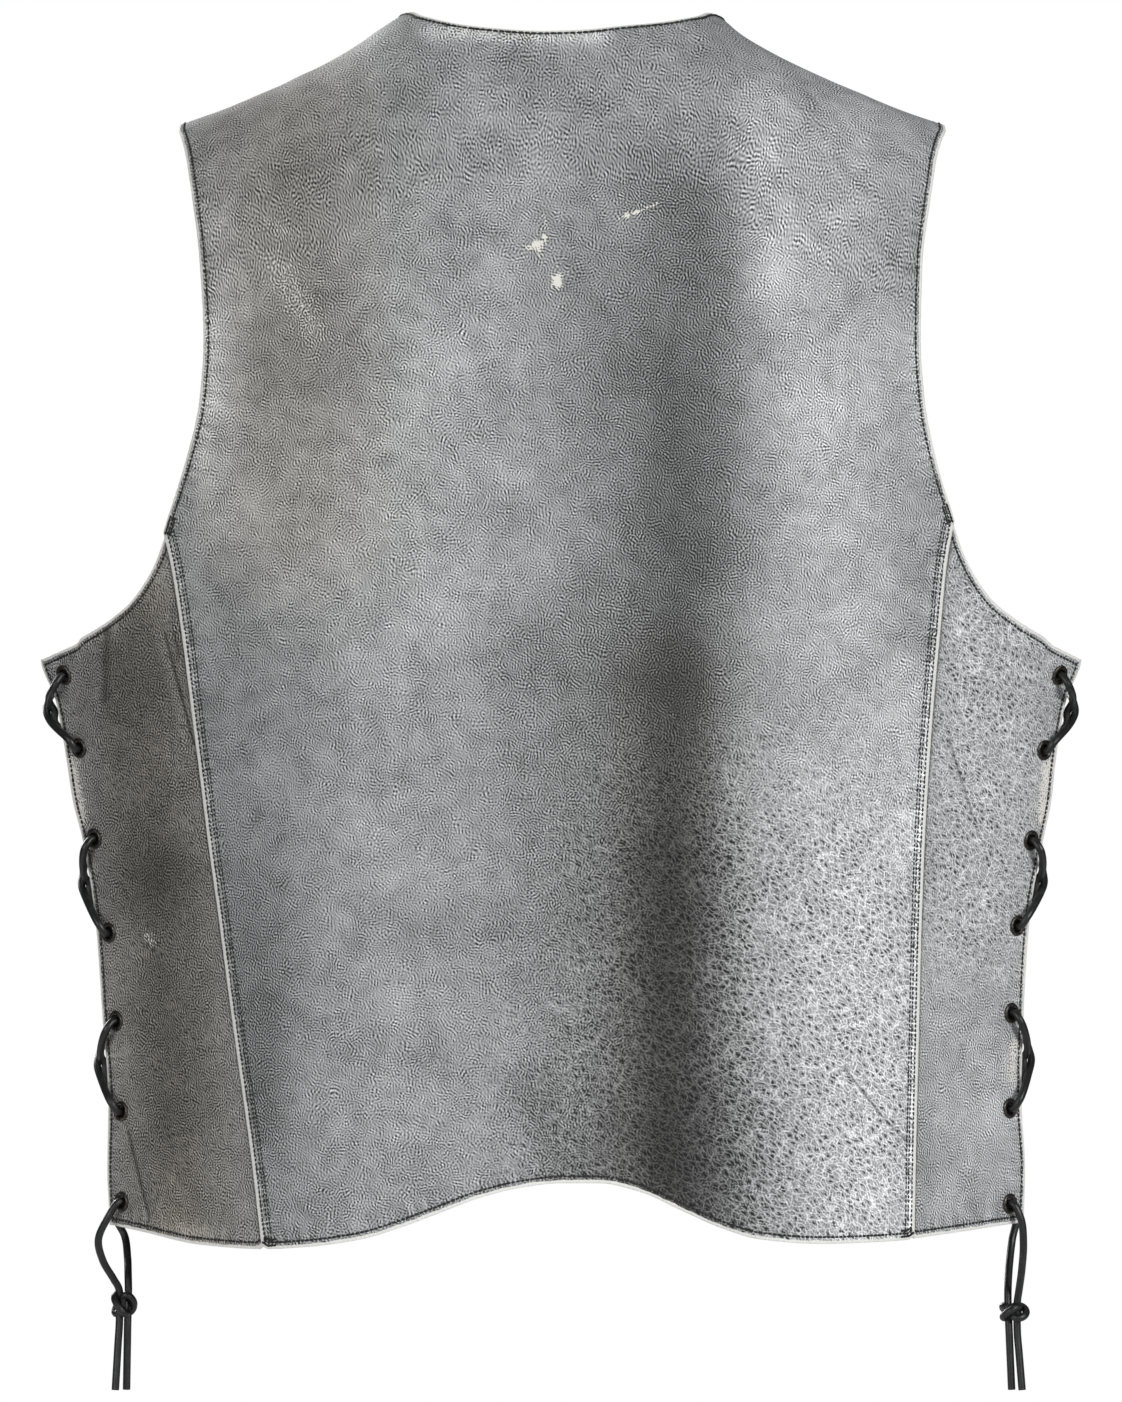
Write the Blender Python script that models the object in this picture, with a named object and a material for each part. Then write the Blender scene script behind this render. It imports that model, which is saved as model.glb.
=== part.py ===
# Western vest in grey leather with laced sides, standing in its worn, hollow form.
# Metres, +Z up. The back faces -Y, the wearer faces +Y and the wearer's right is +X.
# The origin lies midway between the shoulders, at the height of the middle of the shoulder line.

import math

import bpy
import numpy as np
from mathutils import Vector
from mathutils.bvhtree import BVHTree

MM = 0.001

# Driving sizes in millimetres
WALL = 2.0
SEAM_GAP = 0.3
SHOULDER_DROP = 110.0
LACING_HALF_GAP = 7.0
SECTION_POWER = 2.6
SHOULDER_SEAM_FORWARD = 6.0
SHOULDER_LAP = 12.0
SHOULDER_TIP = 210.5
NECK_CORNER = 87.0
NECK_SEAM_END = 87.6
VIEW_DISTANCE = 5000.0
VIEW_HEIGHT = -343.0
FRONT_OVERLAP = 25.0
V_NECK_DEPTH = -250.0
FRONT_HEM_CENTRE = -604.0
FRONT_ARMHOLE_CUT = 14.0
FRONT_STEP_START = 30.0
FRONT_STEP_RUN = 45.0
V_NECK_BOW = 0.38
ARMHOLE_TOP = -45.0
TIP_MARGIN = 9.0
UNDERARM = -320.0
HEM_CORNER = -630.5
LACE = 4.2
EYELET_HOLE = 6.4
EYELET_FLANGE = 11.4
EYELET_BARREL = 7.2
EYELET_SEAT = 0.5
EYELET_FLANGE_THICK = 0.6
EYELET_BACK_FLANGE = 9.2
PANEL_HOLE = 8.0
EYELET_SIDES = 8
SNAP_CAP = 15.0
SNAP_HEIGHT = 2.6
SNAP_SEAT = 0.35
SNAP_SIDES = 16
TAIL_END = -721.5
TAIL_POINTS = 3
LACE_OUT = 2.4
LACE_IN = 4.4
LACE_RISE = 4.6
LACE_LEAN = 2.2
LACE_RUN = 5.0
LACE_INSIDE_SWEEP = 3.4
LACE_INSIDE_RUN = 4.5
TOP_BAR_SWEEP = 3.0
TOP_BAR_INSET = 2.0
TOP_BAR_BEND = 0.45

# How far the two strands pass outside and inside the lacing gap
BACK_REACH = (-0.5, 17.0)
FRONT_REACH = (4.4, 22.8)
EDGE_PASS = 2.8
EDGE_PASS_DEPTH = 6.8
EDGE_PASS_RISE = 6.0
TIP_FLARE = 0.9

# Rows and columns of the panel grids
SEAM_ROWS = 14
ARMHOLE_ROWS = 9
CENTRE_ROWS = 15
SHOULDER_COLUMNS = 10
NECK_COLUMNS = 12
SIDE_COLUMNS = 5
NECK_FADE = 4.0

# Shoulder line: place from left to right, height
SHOULDER_LINE = (
    (-300.0, -55.0), (-240.0, -36.0), (-210.5, -26.0), (-199.0, -22.0), (-188.0, -18.2), (-177.0, -13.8),
    (-166.0, -9.0), (-155.0, -4.4), (-144.0, 1.0), (-133.0, 6.0), (-122.0, 12.0), (-111.0, 18.8),
    (-100.0, 26.6), (-87.0, 34.6), (-70.0, 42.0), (-40.0, 46.5), (0.0, 48.0), (40.0, 46.5),
    (70.0, 42.0), (87.0, 33.0), (98.0, 24.0), (109.0, 17.2), (120.0, 11.2), (131.0, 5.8), (142.0, 0.8),
    (153.0, -4.0), (164.0, -8.5), (175.0, -13.3), (186.0, -17.7), (197.0, -21.6), (210.5, -26.0),
    (240.0, -36.0), (300.0, -55.0),
)

# Side line: height, half width on the left, half width on the right
SIDE_LINE = (
    (-720.0, 249.0, 254.0), (-631.0, 248.8, 253.8), (-600.0, 250.0, 254.6), (-562.0, 249.4, 252.6),
    (-518.0, 252.5, 253.6), (-463.0, 256.5, 257.0), (-419.0, 263.5, 264.5), (-397.0, 269.0, 269.0),
    (-375.0, 272.4, 271.4), (-342.0, 278.4, 277.2), (-320.0, 286.5, 285.5), (-250.0, 288.0, 288.0),
    (-100.0, 286.0, 286.0), (80.0, 282.0, 282.0),
)

# Fullness: height, how far the middle stands out
FULLNESS = (
    (-720.0, 114.0), (-640.0, 111.0), (-560.0, 105.0), (-480.0, 102.0), (-400.0, 106.0),
    (-300.0, 113.0), (-200.0, 116.0), (-100.0, 115.0), (0.0, 108.0), (80.0, 102.0),
)

# Folds: side (1 back, -1 front), place at the top, middle and hem, height, spread left, spread right
FOLDS = (
    (1, 82.0, 95.0, 128.0, 17.0, 34.0, 78.0),
    (1, 18.0, 24.0, 40.0, -12.0, 62.0, 44.0),
    (1, -104.0, -122.0, -156.0, 11.0, 52.0, 66.0),
    (1, -60.0, -30.0, -40.0, 3.0, 40.0, 46.0),
    (-1, -96.0, -108.0, -132.0, 8.0, 60.0, 48.0),
    (-1, 92.0, 104.0, 126.0, 9.0, 46.0, 62.0),
    (-1, 20.0, 16.0, 4.0, -4.0, 60.0, 60.0),
)
FOLD_START = -40.0
FOLD_FULL = -190.0
FOLD_TOP = -80.0
FOLD_MIDDLE = -330.0
FOLD_HEM = -640.0

# Armhole as seen from behind: height, left, right
ARMHOLE = (
    (-45.0, 206.8, 206.0), (-67.0, 203.6, 202.8), (-100.0, 199.7, 198.6), (-144.0, 197.5, 197.5),
    (-177.0, 199.7, 199.7), (-210.0, 207.2, 206.0), (-243.0, 217.6, 216.2), (-265.0, 224.4, 223.6),
    (-287.0, 237.0, 237.0), (-298.0, 249.0, 250.2), (-309.0, 266.6, 268.0),
)

# Seams as seen from behind: height, distance from the middle
SEAM_LEFT = (
    (-641.9, 165.6), (-590.7, 171.6), (-562.1, 175.5), (-527.5, 180.4), (-490.6, 185.4),
    (-459.8, 189.4), (-423.0, 194.6), (-386.1, 199.2), (-348.7, 204.0), (-304.7, 209.6),
    (-265.1, 216.0), (-250.0, 219.6),
)
SEAM_RIGHT = (
    (-636.6, 194.2), (-577.5, 195.3), (-533.5, 196.4), (-468.6, 198.0), (-420.2, 199.8),
    (-378.4, 202.2), (-342.7, 204.8), (-304.7, 208.3), (-265.1, 212.2), (-243.4, 216.2),
)

# Hem as seen from behind: distance from the middle, height
HEM = (
    (-248.6, -630.6), (-231.0, -634.6), (-199.0, -641.8), (-166.0, -644.2), (-144.0, -643.2),
    (-111.0, -638.8), (-89.0, -632.2), (-67.0, -624.0), (-45.0, -615.8), (-23.0, -610.4),
    (0.0, -607.8), (21.0, -607.8), (43.0, -612.6), (65.0, -622.6), (87.0, -632.4),
    (109.0, -638.8), (142.0, -641.2), (186.0, -639.4), (208.0, -636.4), (241.0, -631.2),
    (253.8, -629.4),
)

# Neck edge as seen from behind: distance from the middle, height
NECK = (
    (-78.0, 34.6), (-56.0, 29.9), (-34.0, 27.5), (-12.0, 26.3), (10.0, 26.8), (32.0, 29.0),
    (54.0, 31.0), (76.0, 34.6),
)

# Eyelets: height, distance in from the lacing edge
EYELETS_LEFT = (
    (-328.4, 11.4), (-368.5, 8.8), (-418.0, 7.4), (-469.7, 7.4), (-518.1, 8.0), (-567.6, 7.8),
    (-617.1, 8.0),
)
EYELETS_RIGHT = (
    (-328.4, 10.4), (-369.6, 7.8), (-419.1, 7.4), (-465.9, 7.2), (-513.7, 7.4), (-566.0, 7.2),
    (-618.2, 8.8),
)

# Snap caps: height, distance from the middle
SNAPS = ((-275.0, 0.5), (-372.0, 0.5), (-469.0, 0.5), (-566.0, 0.5))

# Lace ends below the last eyelet: distance out, depth, height
HANG_LEFT_BACK = (
    (249.0, -18.5, -626.0), (254.2, -15.0, -638.0), (252.0, -9.0, -650.0), (246.4, -3.0, -660.5),
    (243.6, -0.6, -666.3),
)
HANG_LEFT_FRONT = (
    (247.0, 20.5, -626.5), (241.5, 20.0, -638.0), (239.6, 13.0, -649.0), (238.8, 4.0, -659.0),
    (238.6, 2.6, -666.7),
)
HANG_RIGHT_BACK = (
    (251.5, -19.0, -626.5), (253.0, -15.5, -640.0), (252.4, -9.0, -655.0), (251.0, -2.5, -668.0),
    (250.4, -1.2, -672.7),
)
HANG_RIGHT_FRONT = (
    (250.0, 20.5, -627.0), (247.0, 19.5, -640.0), (245.6, 12.0, -654.0), (245.4, 4.0, -666.0),
    (245.4, 2.2, -673.6),
)

# Knots: side, distance out, height, half height of the wraps, ring radius
KNOTS = ((-1, 241.4, -674.4, 5.2, 3.6), (1, 248.2, -678.6, 3.2, 4.8))
KNOT_WRAP = 2.25
KNOT_POINTS = 36

# Tails: side, name, distance out at the top and at the end, depth at the top and at the end, rise
TAILS = (
    (-1, "back", 243.4, 245.6, -0.4, -1.4, 0.0), (-1, "front", 238.9, 239.6, 0.8, 2.2, 0.2),
    (1, "back", 250.4, 253.0, -0.6, -1.6, 0.6), (1, "front", 246.0, 247.4, 0.8, 2.0, 0.3),
)

# Plain colours of the solids
LEATHER = (0.30, 0.31, 0.31, 1.0)
LACE_LEATHER = (0.012, 0.013, 0.015, 1.0)
DARK_METAL = (0.10, 0.09, 0.08, 1.0)


def smooth_curve(xs, ys):
    """Curve through the rows of a table, without overshoot."""
    xs = np.asarray(xs, float)
    ys = np.asarray(ys, float)
    step = np.diff(xs)
    slope = np.diff(ys) / step
    tangent = np.zeros(len(xs))
    tangent[0] = slope[0]
    tangent[-1] = slope[-1]
    for i in range(1, len(xs) - 1):
        if slope[i - 1] * slope[i] > 0.0:
            w1 = 2.0 * step[i] + step[i - 1]
            w2 = step[i] + 2.0 * step[i - 1]
            tangent[i] = (w1 + w2) / (w1 / slope[i - 1] + w2 / slope[i])

    def value(x):
        x = min(max(x, xs[0]), xs[-1])
        i = min(max(int(np.searchsorted(xs, x)) - 1, 0), len(xs) - 2)
        t = (x - xs[i]) / step[i]
        a = (1.0 + 2.0 * t) * (1.0 - t) ** 2
        b = t * (1.0 - t) ** 2
        c = t * t * (3.0 - 2.0 * t)
        d = t * t * (t - 1.0)
        return float(a * ys[i] + b * step[i] * tangent[i] + c * ys[i + 1] + d * step[i] * tangent[i + 1])

    return value


def table_curve(rows, key, column):
    """Curve of one column of a table over another."""
    ordered = sorted(rows, key=lambda row: row[key])
    return smooth_curve([row[key] for row in ordered], [row[column] for row in ordered])


def ease(t):
    t = min(max(t, 0.0), 1.0)
    return t * t * (3.0 - 2.0 * t)


shoulder_height = table_curve(SHOULDER_LINE, 0, 1)
half_width_left = table_curve(SIDE_LINE, 0, 1)
half_width_right = table_curve(SIDE_LINE, 0, 2)
fullness = table_curve(FULLNESS, 0, 1)
hem_height = table_curve(HEM, 0, 1)
armhole_left = table_curve(ARMHOLE, 0, 1)
armhole_right = table_curve(ARMHOLE, 0, 2)
FOLD_PLACES = [
    smooth_curve((FOLD_HEM, FOLD_MIDDLE, FOLD_TOP), (row[3], row[2], row[1])) for row in FOLDS
]


def half_width(z, side):
    return half_width_left(z) if side < 0 else half_width_right(z)


def fold_height(x, z, face):
    """Height of the folds of the back (face 1) or of the fronts (face -1)."""
    total = 0.0
    for row, place in zip(FOLDS, FOLD_PLACES):
        if row[0] == face:
            away = x - place(z)
            spread = row[5] if away < 0.0 else row[6]
            total += row[4] * math.exp(-(away / spread) ** 2)
    return total * ease((FOLD_START - z) / (FOLD_START - FOLD_FULL))


def depth(x, z, face):
    """Distance of the cloth from the mid plane."""
    ratio = min(abs(x) / half_width(z, x), 1.0)
    fold = fold_height(x, z, face) * (1.0 - ratio ** 4)
    return LACING_HALF_GAP + fullness(z) * (1.0 - ratio ** SECTION_POWER) + fold


def form(x, p):
    """Outer form of the vest: p runs down the back from the shoulder line, and down the front below zero."""
    run = abs(p)
    if run < SHOULDER_DROP:
        angle = 0.5 * math.pi * run / SHOULDER_DROP
        drop = SHOULDER_DROP * (1.0 - math.cos(angle))
        lift = math.sin(angle)
    else:
        drop = run
        lift = 1.0
    face = 1 if p >= 0.0 else -1
    z = shoulder_height(x) - drop
    return Vector((x, -face * lift * depth(x, z, face), z))


def form_normal(x, p):
    d = 0.5
    across = form(x + d, p) - form(x - d, p)
    along = form(x, p + d) - form(x, p - d)
    return along.cross(across).normalized()


def run_at(x, z, face):
    """Run p at which the form has height z."""
    drop = max(shoulder_height(x) - z, 0.0)
    if drop < SHOULDER_DROP:
        return face * SHOULDER_DROP * 2.0 / math.pi * math.acos(1.0 - drop / SHOULDER_DROP)
    return face * drop


def seen(x_seen, z_seen):
    """Place on the back that is seen at (x, z) from the view distance."""
    x = x_seen
    z = z_seen
    for _ in range(12):
        y = form(x, run_at(x, z, 1)).y
        near = (VIEW_DISTANCE + y) / VIEW_DISTANCE
        x = x_seen * near
        z = VIEW_HEIGHT + (z_seen - VIEW_HEIGHT) * near
    return (x, run_at(x, z, 1))


def even(points, count):
    """The line through the points, cut into equal steps."""
    points = np.asarray(points, float)
    length = np.concatenate(([0.0], np.cumsum(np.linalg.norm(np.diff(points, axis=0), axis=1))))
    places = np.linspace(0.0, length[-1], count + 1)
    return np.column_stack([np.interp(places, length, points[:, k]) for k in range(points.shape[1])])


def coons(bottom, top, left, right, top_power=1.0):
    """Grid of (x, p) places between four edge lines; the top line's bow fades with the given power."""
    rows = len(left)
    columns = len(bottom)
    run = np.linalg.norm(np.diff(left, axis=0), axis=1) + np.linalg.norm(np.diff(right, axis=0), axis=1)
    v = np.concatenate(([0.0], np.cumsum(run)))
    v = v / v[-1]
    u = np.linspace(0.0, 1.0, columns)
    grid = np.zeros((rows, columns, 2))
    for r in range(rows):
        for c in range(columns):
            across = (1.0 - u[c]) * left[r] + u[c] * right[r]
            bottom_bow = bottom[c] - (1.0 - u[c]) * bottom[0] - u[c] * bottom[-1]
            top_bow = top[c] - (1.0 - u[c]) * top[0] - u[c] * top[-1]
            grid[r, c] = across + (1.0 - v[r]) * bottom_bow + v[r] ** top_power * top_bow
    return grid


def armhole_edge(side, z):
    return armhole_left(z) if side < 0 else armhole_right(z)


def back_grid():
    """Places of the back panel: rows from the hem to the shoulder seams, columns from left to right."""
    edges = []
    for side, seam in ((-1, SEAM_LEFT), (1, SEAM_RIGHT)):
        seam_line = [seen(side * x, z) for z, x in seam]
        low = seam[-1][0]
        hole_line = [seam_line[-1]]
        for z in np.linspace(low + 6.0, ARMHOLE_TOP, 30):
            hole_line.append(seen(side * armhole_edge(side, z), z))
        hole_line.append((side * SHOULDER_TIP, SHOULDER_LAP + 8.0))
        hole_line.append((side * SHOULDER_TIP, SHOULDER_LAP - SHOULDER_SEAM_FORWARD))
        lap = np.array([[side * SHOULDER_TIP, -SHOULDER_SEAM_FORWARD]])
        edges.append(np.vstack((even(seam_line, SEAM_ROWS), even(hole_line, ARMHOLE_ROWS)[1:], lap)))
    left, right = edges
    start = -SEAM_LEFT[0][1]
    end = SEAM_RIGHT[0][1]
    hem_line = [left[0]]
    hem_line += [seen(x, hem_height(x)) for x in np.linspace(start, end, 61)[1:-1]]
    hem_line.append(right[0])
    bottom = even(hem_line, 2 * SHOULDER_COLUMNS + NECK_COLUMNS)
    forward = -SHOULDER_SEAM_FORWARD
    shoulder_left = even(((-SHOULDER_TIP, forward), (-NECK_SEAM_END, forward)), SHOULDER_COLUMNS)
    shoulder_right = even(((NECK_SEAM_END, forward), (SHOULDER_TIP, forward)), SHOULDER_COLUMNS)
    neck_line = [(-NECK_SEAM_END, forward), (-NECK_CORNER, 0.0)]
    neck_line += [seen(x, z) for x, z in NECK]
    neck_line += [(NECK_CORNER, 0.0), (NECK_SEAM_END, forward)]
    neck = even(neck_line, NECK_COLUMNS)
    top = np.vstack((shoulder_left, neck[1:-1], shoulder_right))
    return coons(bottom, top, left, right, NECK_FADE)


def lacing_line(side, face):
    """Lacing edge from the hem corner to the underarm tip."""
    line = []
    for z in np.linspace(HEM_CORNER, UNDERARM, 40):
        x = side * half_width(z, side)
        line.append((x, run_at(x, z, face)))
    return line


def side_grid(side, back):
    """Places of a side panel: a lap under the back panel, then columns out to the lacing edge."""
    first = 0 if side < 0 else -1
    second = 1 if side < 0 else -2
    seam = back[:SEAM_ROWS + 1, first]
    lap = back[:SEAM_ROWS + 1, second]
    lacing = even(lacing_line(side, 1), SEAM_ROWS)
    seam_x = SEAM_LEFT[0][1] if side < 0 else SEAM_RIGHT[0][1]
    corner_x = half_width(HEM_CORNER, side)
    hem_line = [seam[0]]
    hem_line += [seen(side * x, hem_height(side * x)) for x in np.linspace(seam_x, corner_x, 21)[1:-1]]
    hem_line.append(lacing[0])
    seam_top = SEAM_LEFT[-1][0] if side < 0 else SEAM_RIGHT[-1][0]
    hole_line = [seam[-1]]
    for z in np.linspace(seam_top, UNDERARM + TIP_MARGIN, 20)[1:]:
        hole_line.append(seen(side * armhole_edge(side, z), z))
    hole_line.append(lacing[-1])
    grid = coons(even(hem_line, SIDE_COLUMNS), even(hole_line, SIDE_COLUMNS), seam, lacing)
    return np.concatenate((lap[:, None, :], grid), axis=1)


def front_grid(side, back):
    """Places of a front: columns from the lacing edge to the middle, rows from the hem to the shoulder lap."""
    if side < 0:
        seam = back[-1, :SHOULDER_COLUMNS + 1]
        lap = back[-2, :SHOULDER_COLUMNS + 1]
    else:
        seam = back[-1, ::-1][:SHOULDER_COLUMNS + 1]
        lap = back[-2, ::-1][:SHOULDER_COLUMNS + 1]
    lacing = even(lacing_line(side, -1), SEAM_ROWS)
    hole_line = [lacing[-1]]
    for z in np.linspace(UNDERARM + TIP_MARGIN, ARMHOLE_TOP, 40):
        cut = FRONT_ARMHOLE_CUT * math.sin(math.pi * (z - UNDERARM) / (ARMHOLE_TOP - UNDERARM))
        x = side * (armhole_edge(side, z) - max(cut, 0.0))
        hole_line.append((x, run_at(x, z, -1)))
    hole_line.append(seam[0])
    outer = np.vstack((lacing, even(hole_line, ARMHOLE_ROWS)[1:]))
    edge_x = -side * 0.5 * FRONT_OVERLAP
    centre = [(edge_x, run_at(edge_x, z, -1)) for z in np.linspace(FRONT_HEM_CENTRE, V_NECK_DEPTH, 20)]
    neck_end = seam[-1]
    v_line = [centre[-1]]
    for t in np.linspace(0.0, 1.0, 21)[1:-1]:
        z = V_NECK_DEPTH + (shoulder_height(neck_end[0]) - SHOULDER_SEAM_FORWARD - V_NECK_DEPTH) * t
        x = edge_x + (neck_end[0] - edge_x) * ((1.0 - V_NECK_BOW) * t + V_NECK_BOW * t * t)
        v_line.append((x, run_at(x, z, -1)))
    v_line.append(neck_end)
    v_rows = SEAM_ROWS + ARMHOLE_ROWS - CENTRE_ROWS
    inner = np.vstack((even(centre, CENTRE_ROWS), even(v_line, v_rows)[1:]))
    corner_x = side * half_width(HEM_CORNER, side)
    hem_line = [lacing[0]]
    for t in np.linspace(0.0, 1.0, 21)[1:-1]:
        x = corner_x + (edge_x - corner_x) * t
        z = HEM_CORNER + (FRONT_HEM_CENTRE - HEM_CORNER) * ease(t)
        hem_line.append((x, run_at(x, z, -1)))
    hem_line.append(inner[0])
    grid = coons(even(hem_line, SHOULDER_COLUMNS), seam, outer, inner)
    return np.concatenate((grid, lap[None, :, :]), axis=0)


def no_offset(row, column, x):
    return 0.0


def side_offset(row, column, x):
    return -(WALL + SEAM_GAP) * (1.0 - ease((column - 1) / 3.0))


def front_offset(row, column, x):
    from_top = SEAM_ROWS + ARMHOLE_ROWS + 1 - row
    return -(WALL + SEAM_GAP) * (1.0 - ease((from_top - 1) / 4.0))


def under_front_offset(row, column, x):
    under = 1.0 - ease((abs(x) - FRONT_STEP_START) / FRONT_STEP_RUN)
    return front_offset(row, column, x) - (WALL + 2.0 * SEAM_GAP) * under


def panel_points(grid, offset):
    """Outer and inner points of a panel."""
    rows, columns = grid.shape[:2]
    outer = []
    inner = []
    for r in range(rows):
        for c in range(columns):
            x, p = grid[r, c]
            normal = form_normal(x, p)
            point = form(x, p) + normal * offset(r, c, x)
            outer.append(point)
            inner.append(point - normal * WALL)
    return outer, inner


def panel_faces(rows, columns, flip, turn_from):
    """Triangles of the outer sheet, the inner sheet and the raw edges; diagonals turn at the given column."""
    count = rows * columns
    outer = []
    for r in range(rows - 1):
        for c in range(columns - 1):
            a = r * columns + c
            b = a + 1
            d = a + columns
            e = d + 1
            if c < turn_from:
                outer += [(a, b, e), (a, e, d)]
            else:
                outer += [(a, b, d), (b, e, d)]
    rim = list(range(columns))
    rim += [r * columns + columns - 1 for r in range(1, rows)]
    rim += [(rows - 1) * columns + c for c in range(columns - 2, -1, -1)]
    rim += [r * columns for r in range(rows - 2, 0, -1)]
    faces = list(outer)
    faces += [(c + count, b + count, a + count) for a, b, c in outer]
    for i, a in enumerate(rim):
        b = rim[(i + 1) % len(rim)]
        faces.append((b, a, a + count))
        faces.append((b, a + count, b + count))
    if flip:
        faces = [(c, b, a) for a, b, c in faces]
    return faces, outer


def material(name, colour, metallic, roughness):
    made = bpy.data.materials.new(name)
    made.use_nodes = True
    shader = made.node_tree.nodes["Principled BSDF"]
    shader.inputs["Base Color"].default_value = colour
    shader.inputs["Metallic"].default_value = metallic
    shader.inputs["Roughness"].default_value = roughness
    made.diffuse_color = colour
    return made


def add_mesh(name, points, faces, look):
    mesh = bpy.data.meshes.new(name)
    mesh.from_pydata([tuple(point * MM) for point in points], [], faces)
    mesh.validate()
    mesh.update()
    made = bpy.data.objects.new(name, mesh)
    bpy.context.scene.collection.objects.link(made)
    if look is not None:
        mesh.materials.append(look)
    return made


def revolve(profile, place, normal, sides):
    """Points and faces of a ring with the given closed profile of (radius, height)."""
    across = normal.orthogonal().normalized()
    other = normal.cross(across)
    points = []
    faces = []
    count = len(profile)
    for s in range(sides):
        turn = 2.0 * math.pi * s / sides
        out = across * math.cos(turn) + other * math.sin(turn)
        for radius, height in profile:
            points.append(place + out * radius + normal * height)
    for s in range(sides):
        nxt = (s + 1) % sides
        for k in range(count):
            m = (k + 1) % count
            faces.append((s * count + k, nxt * count + k, nxt * count + m, s * count + m))
    return points, faces


def disc_solid(profile, place, normal, sides):
    """Closed turned solid: the profile starts and ends on the axis."""
    across = normal.orthogonal().normalized()
    other = normal.cross(across)
    points = [place + normal * profile[0][1]]
    rings = profile[1:-1]
    for radius, height in rings:
        for s in range(sides):
            turn = 2.0 * math.pi * s / sides
            points.append(place + (across * math.cos(turn) + other * math.sin(turn)) * radius + normal * height)
    points.append(place + normal * profile[-1][1])
    last = len(points) - 1
    faces = []
    for s in range(sides):
        nxt = (s + 1) % sides
        faces.append((0, 1 + nxt, 1 + s))
        for k in range(len(rings) - 1):
            a = 1 + k * sides
            b = a + sides
            faces.append((a + s, a + nxt, b + nxt, b + s))
        top = 1 + (len(rings) - 1) * sides
        faces.append((last, top + s, top + nxt))
    return points, faces


def eyelet_profile():
    hole = 0.5 * EYELET_HOLE
    barrel = 0.5 * EYELET_BARREL
    flange = 0.5 * EYELET_FLANGE
    back_flange = 0.5 * EYELET_BACK_FLANGE
    top = EYELET_SEAT + EYELET_FLANGE_THICK
    low = -WALL - EYELET_SEAT
    return (
        (hole, low - EYELET_FLANGE_THICK), (back_flange, low - EYELET_FLANGE_THICK), (back_flange, low),
        (barrel, low), (barrel, EYELET_SEAT), (flange, EYELET_SEAT), (flange - 0.5, top), (hole, top),
    )


def add_panel(name, grid, offset, flip, look, turn_from=0):
    outer, inner = panel_points(grid, offset)
    faces, outer_faces = panel_faces(grid.shape[0], grid.shape[1], flip, turn_from)
    made = add_mesh(name, outer + inner, faces, look)
    tree = BVHTree.FromPolygons(outer, outer_faces)
    return made, tree


def on_sheet(tree, place, normal):
    """Place and normal where the line along the normal meets the outer sheet."""
    hit, facing, _, _ = tree.ray_cast(place + normal * 12.0, -normal, 30.0)
    if facing.dot(normal) < 0.0:
        facing = -facing
    return hit, (facing + normal).normalized()


def cut_holes(panel, places, name):
    """Round holes through a panel at the given places."""
    points = []
    faces = []
    radius = 0.5 * PANEL_HOLE
    for place, normal in places:
        start = len(points)
        ring = ((0.0, -6.0), (radius, -6.0), (radius, 4.0), (0.0, 4.0))
        more, more_faces = disc_solid(ring, place, normal, EYELET_SIDES)
        points += more
        faces += [tuple(start + k for k in face) for face in more_faces]
    cutter = add_mesh(name, points, faces, None)
    cutter.hide_render = True
    cutter.display_type = "WIRE"
    cut = panel.modifiers.new("eyelet_holes", "BOOLEAN")
    cut.operation = "DIFFERENCE"
    cut.solver = "EXACT"
    cut.object = cutter


def smooth_route(route):
    """Points of a smooth line through a route of (point, pieces up to the next point)."""
    stops = [Vector(point) for point, _ in route]
    ends = [2.0 * stops[0] - stops[1]] + stops + [2.0 * stops[-1] - stops[-2]]
    line = []
    for i in range(1, len(ends) - 2):
        a, b, c, d = ends[i - 1:i + 3]
        ta = max((b - a).length, 1e-6) ** 0.5
        tb = max((c - b).length, 1e-6) ** 0.5
        tc = max((d - c).length, 1e-6) ** 0.5
        m1 = tb * ((b - a) / ta - (c - a) / (ta + tb) + (c - b) / tb)
        m2 = tb * ((c - b) / tb - (d - b) / (tb + tc) + (d - c) / tc)
        pieces = route[i - 1][1]
        for k in range(pieces):
            t = k / pieces
            h1 = (1.0 + 2.0 * t) * (1.0 - t) ** 2
            h2 = t * (1.0 - t) ** 2
            h3 = t * t * (3.0 - 2.0 * t)
            h4 = t * t * (t - 1.0)
            line.append(h1 * b + h2 * m1 + h3 * c + h4 * m2)
    line.append(stops[-1])
    return line


def add_cord(name, points, look, closed=False):
    """Round lace along the points."""
    curve = bpy.data.curves.new(name, "CURVE")
    curve.dimensions = "3D"
    curve.bevel_depth = 0.5 * LACE * MM
    curve.bevel_resolution = 2
    curve.use_fill_caps = not closed
    line = curve.splines.new("POLY")
    line.points.add(len(points) - 1)
    for spot, point in zip(line.points, points):
        spot.co = (point.x * MM, point.y * MM, point.z * MM, 1.0)
    line.use_cyclic_u = closed
    curve.materials.append(look)
    made = bpy.data.objects.new(name, curve)
    bpy.context.scene.collection.objects.link(made)
    return made


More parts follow.
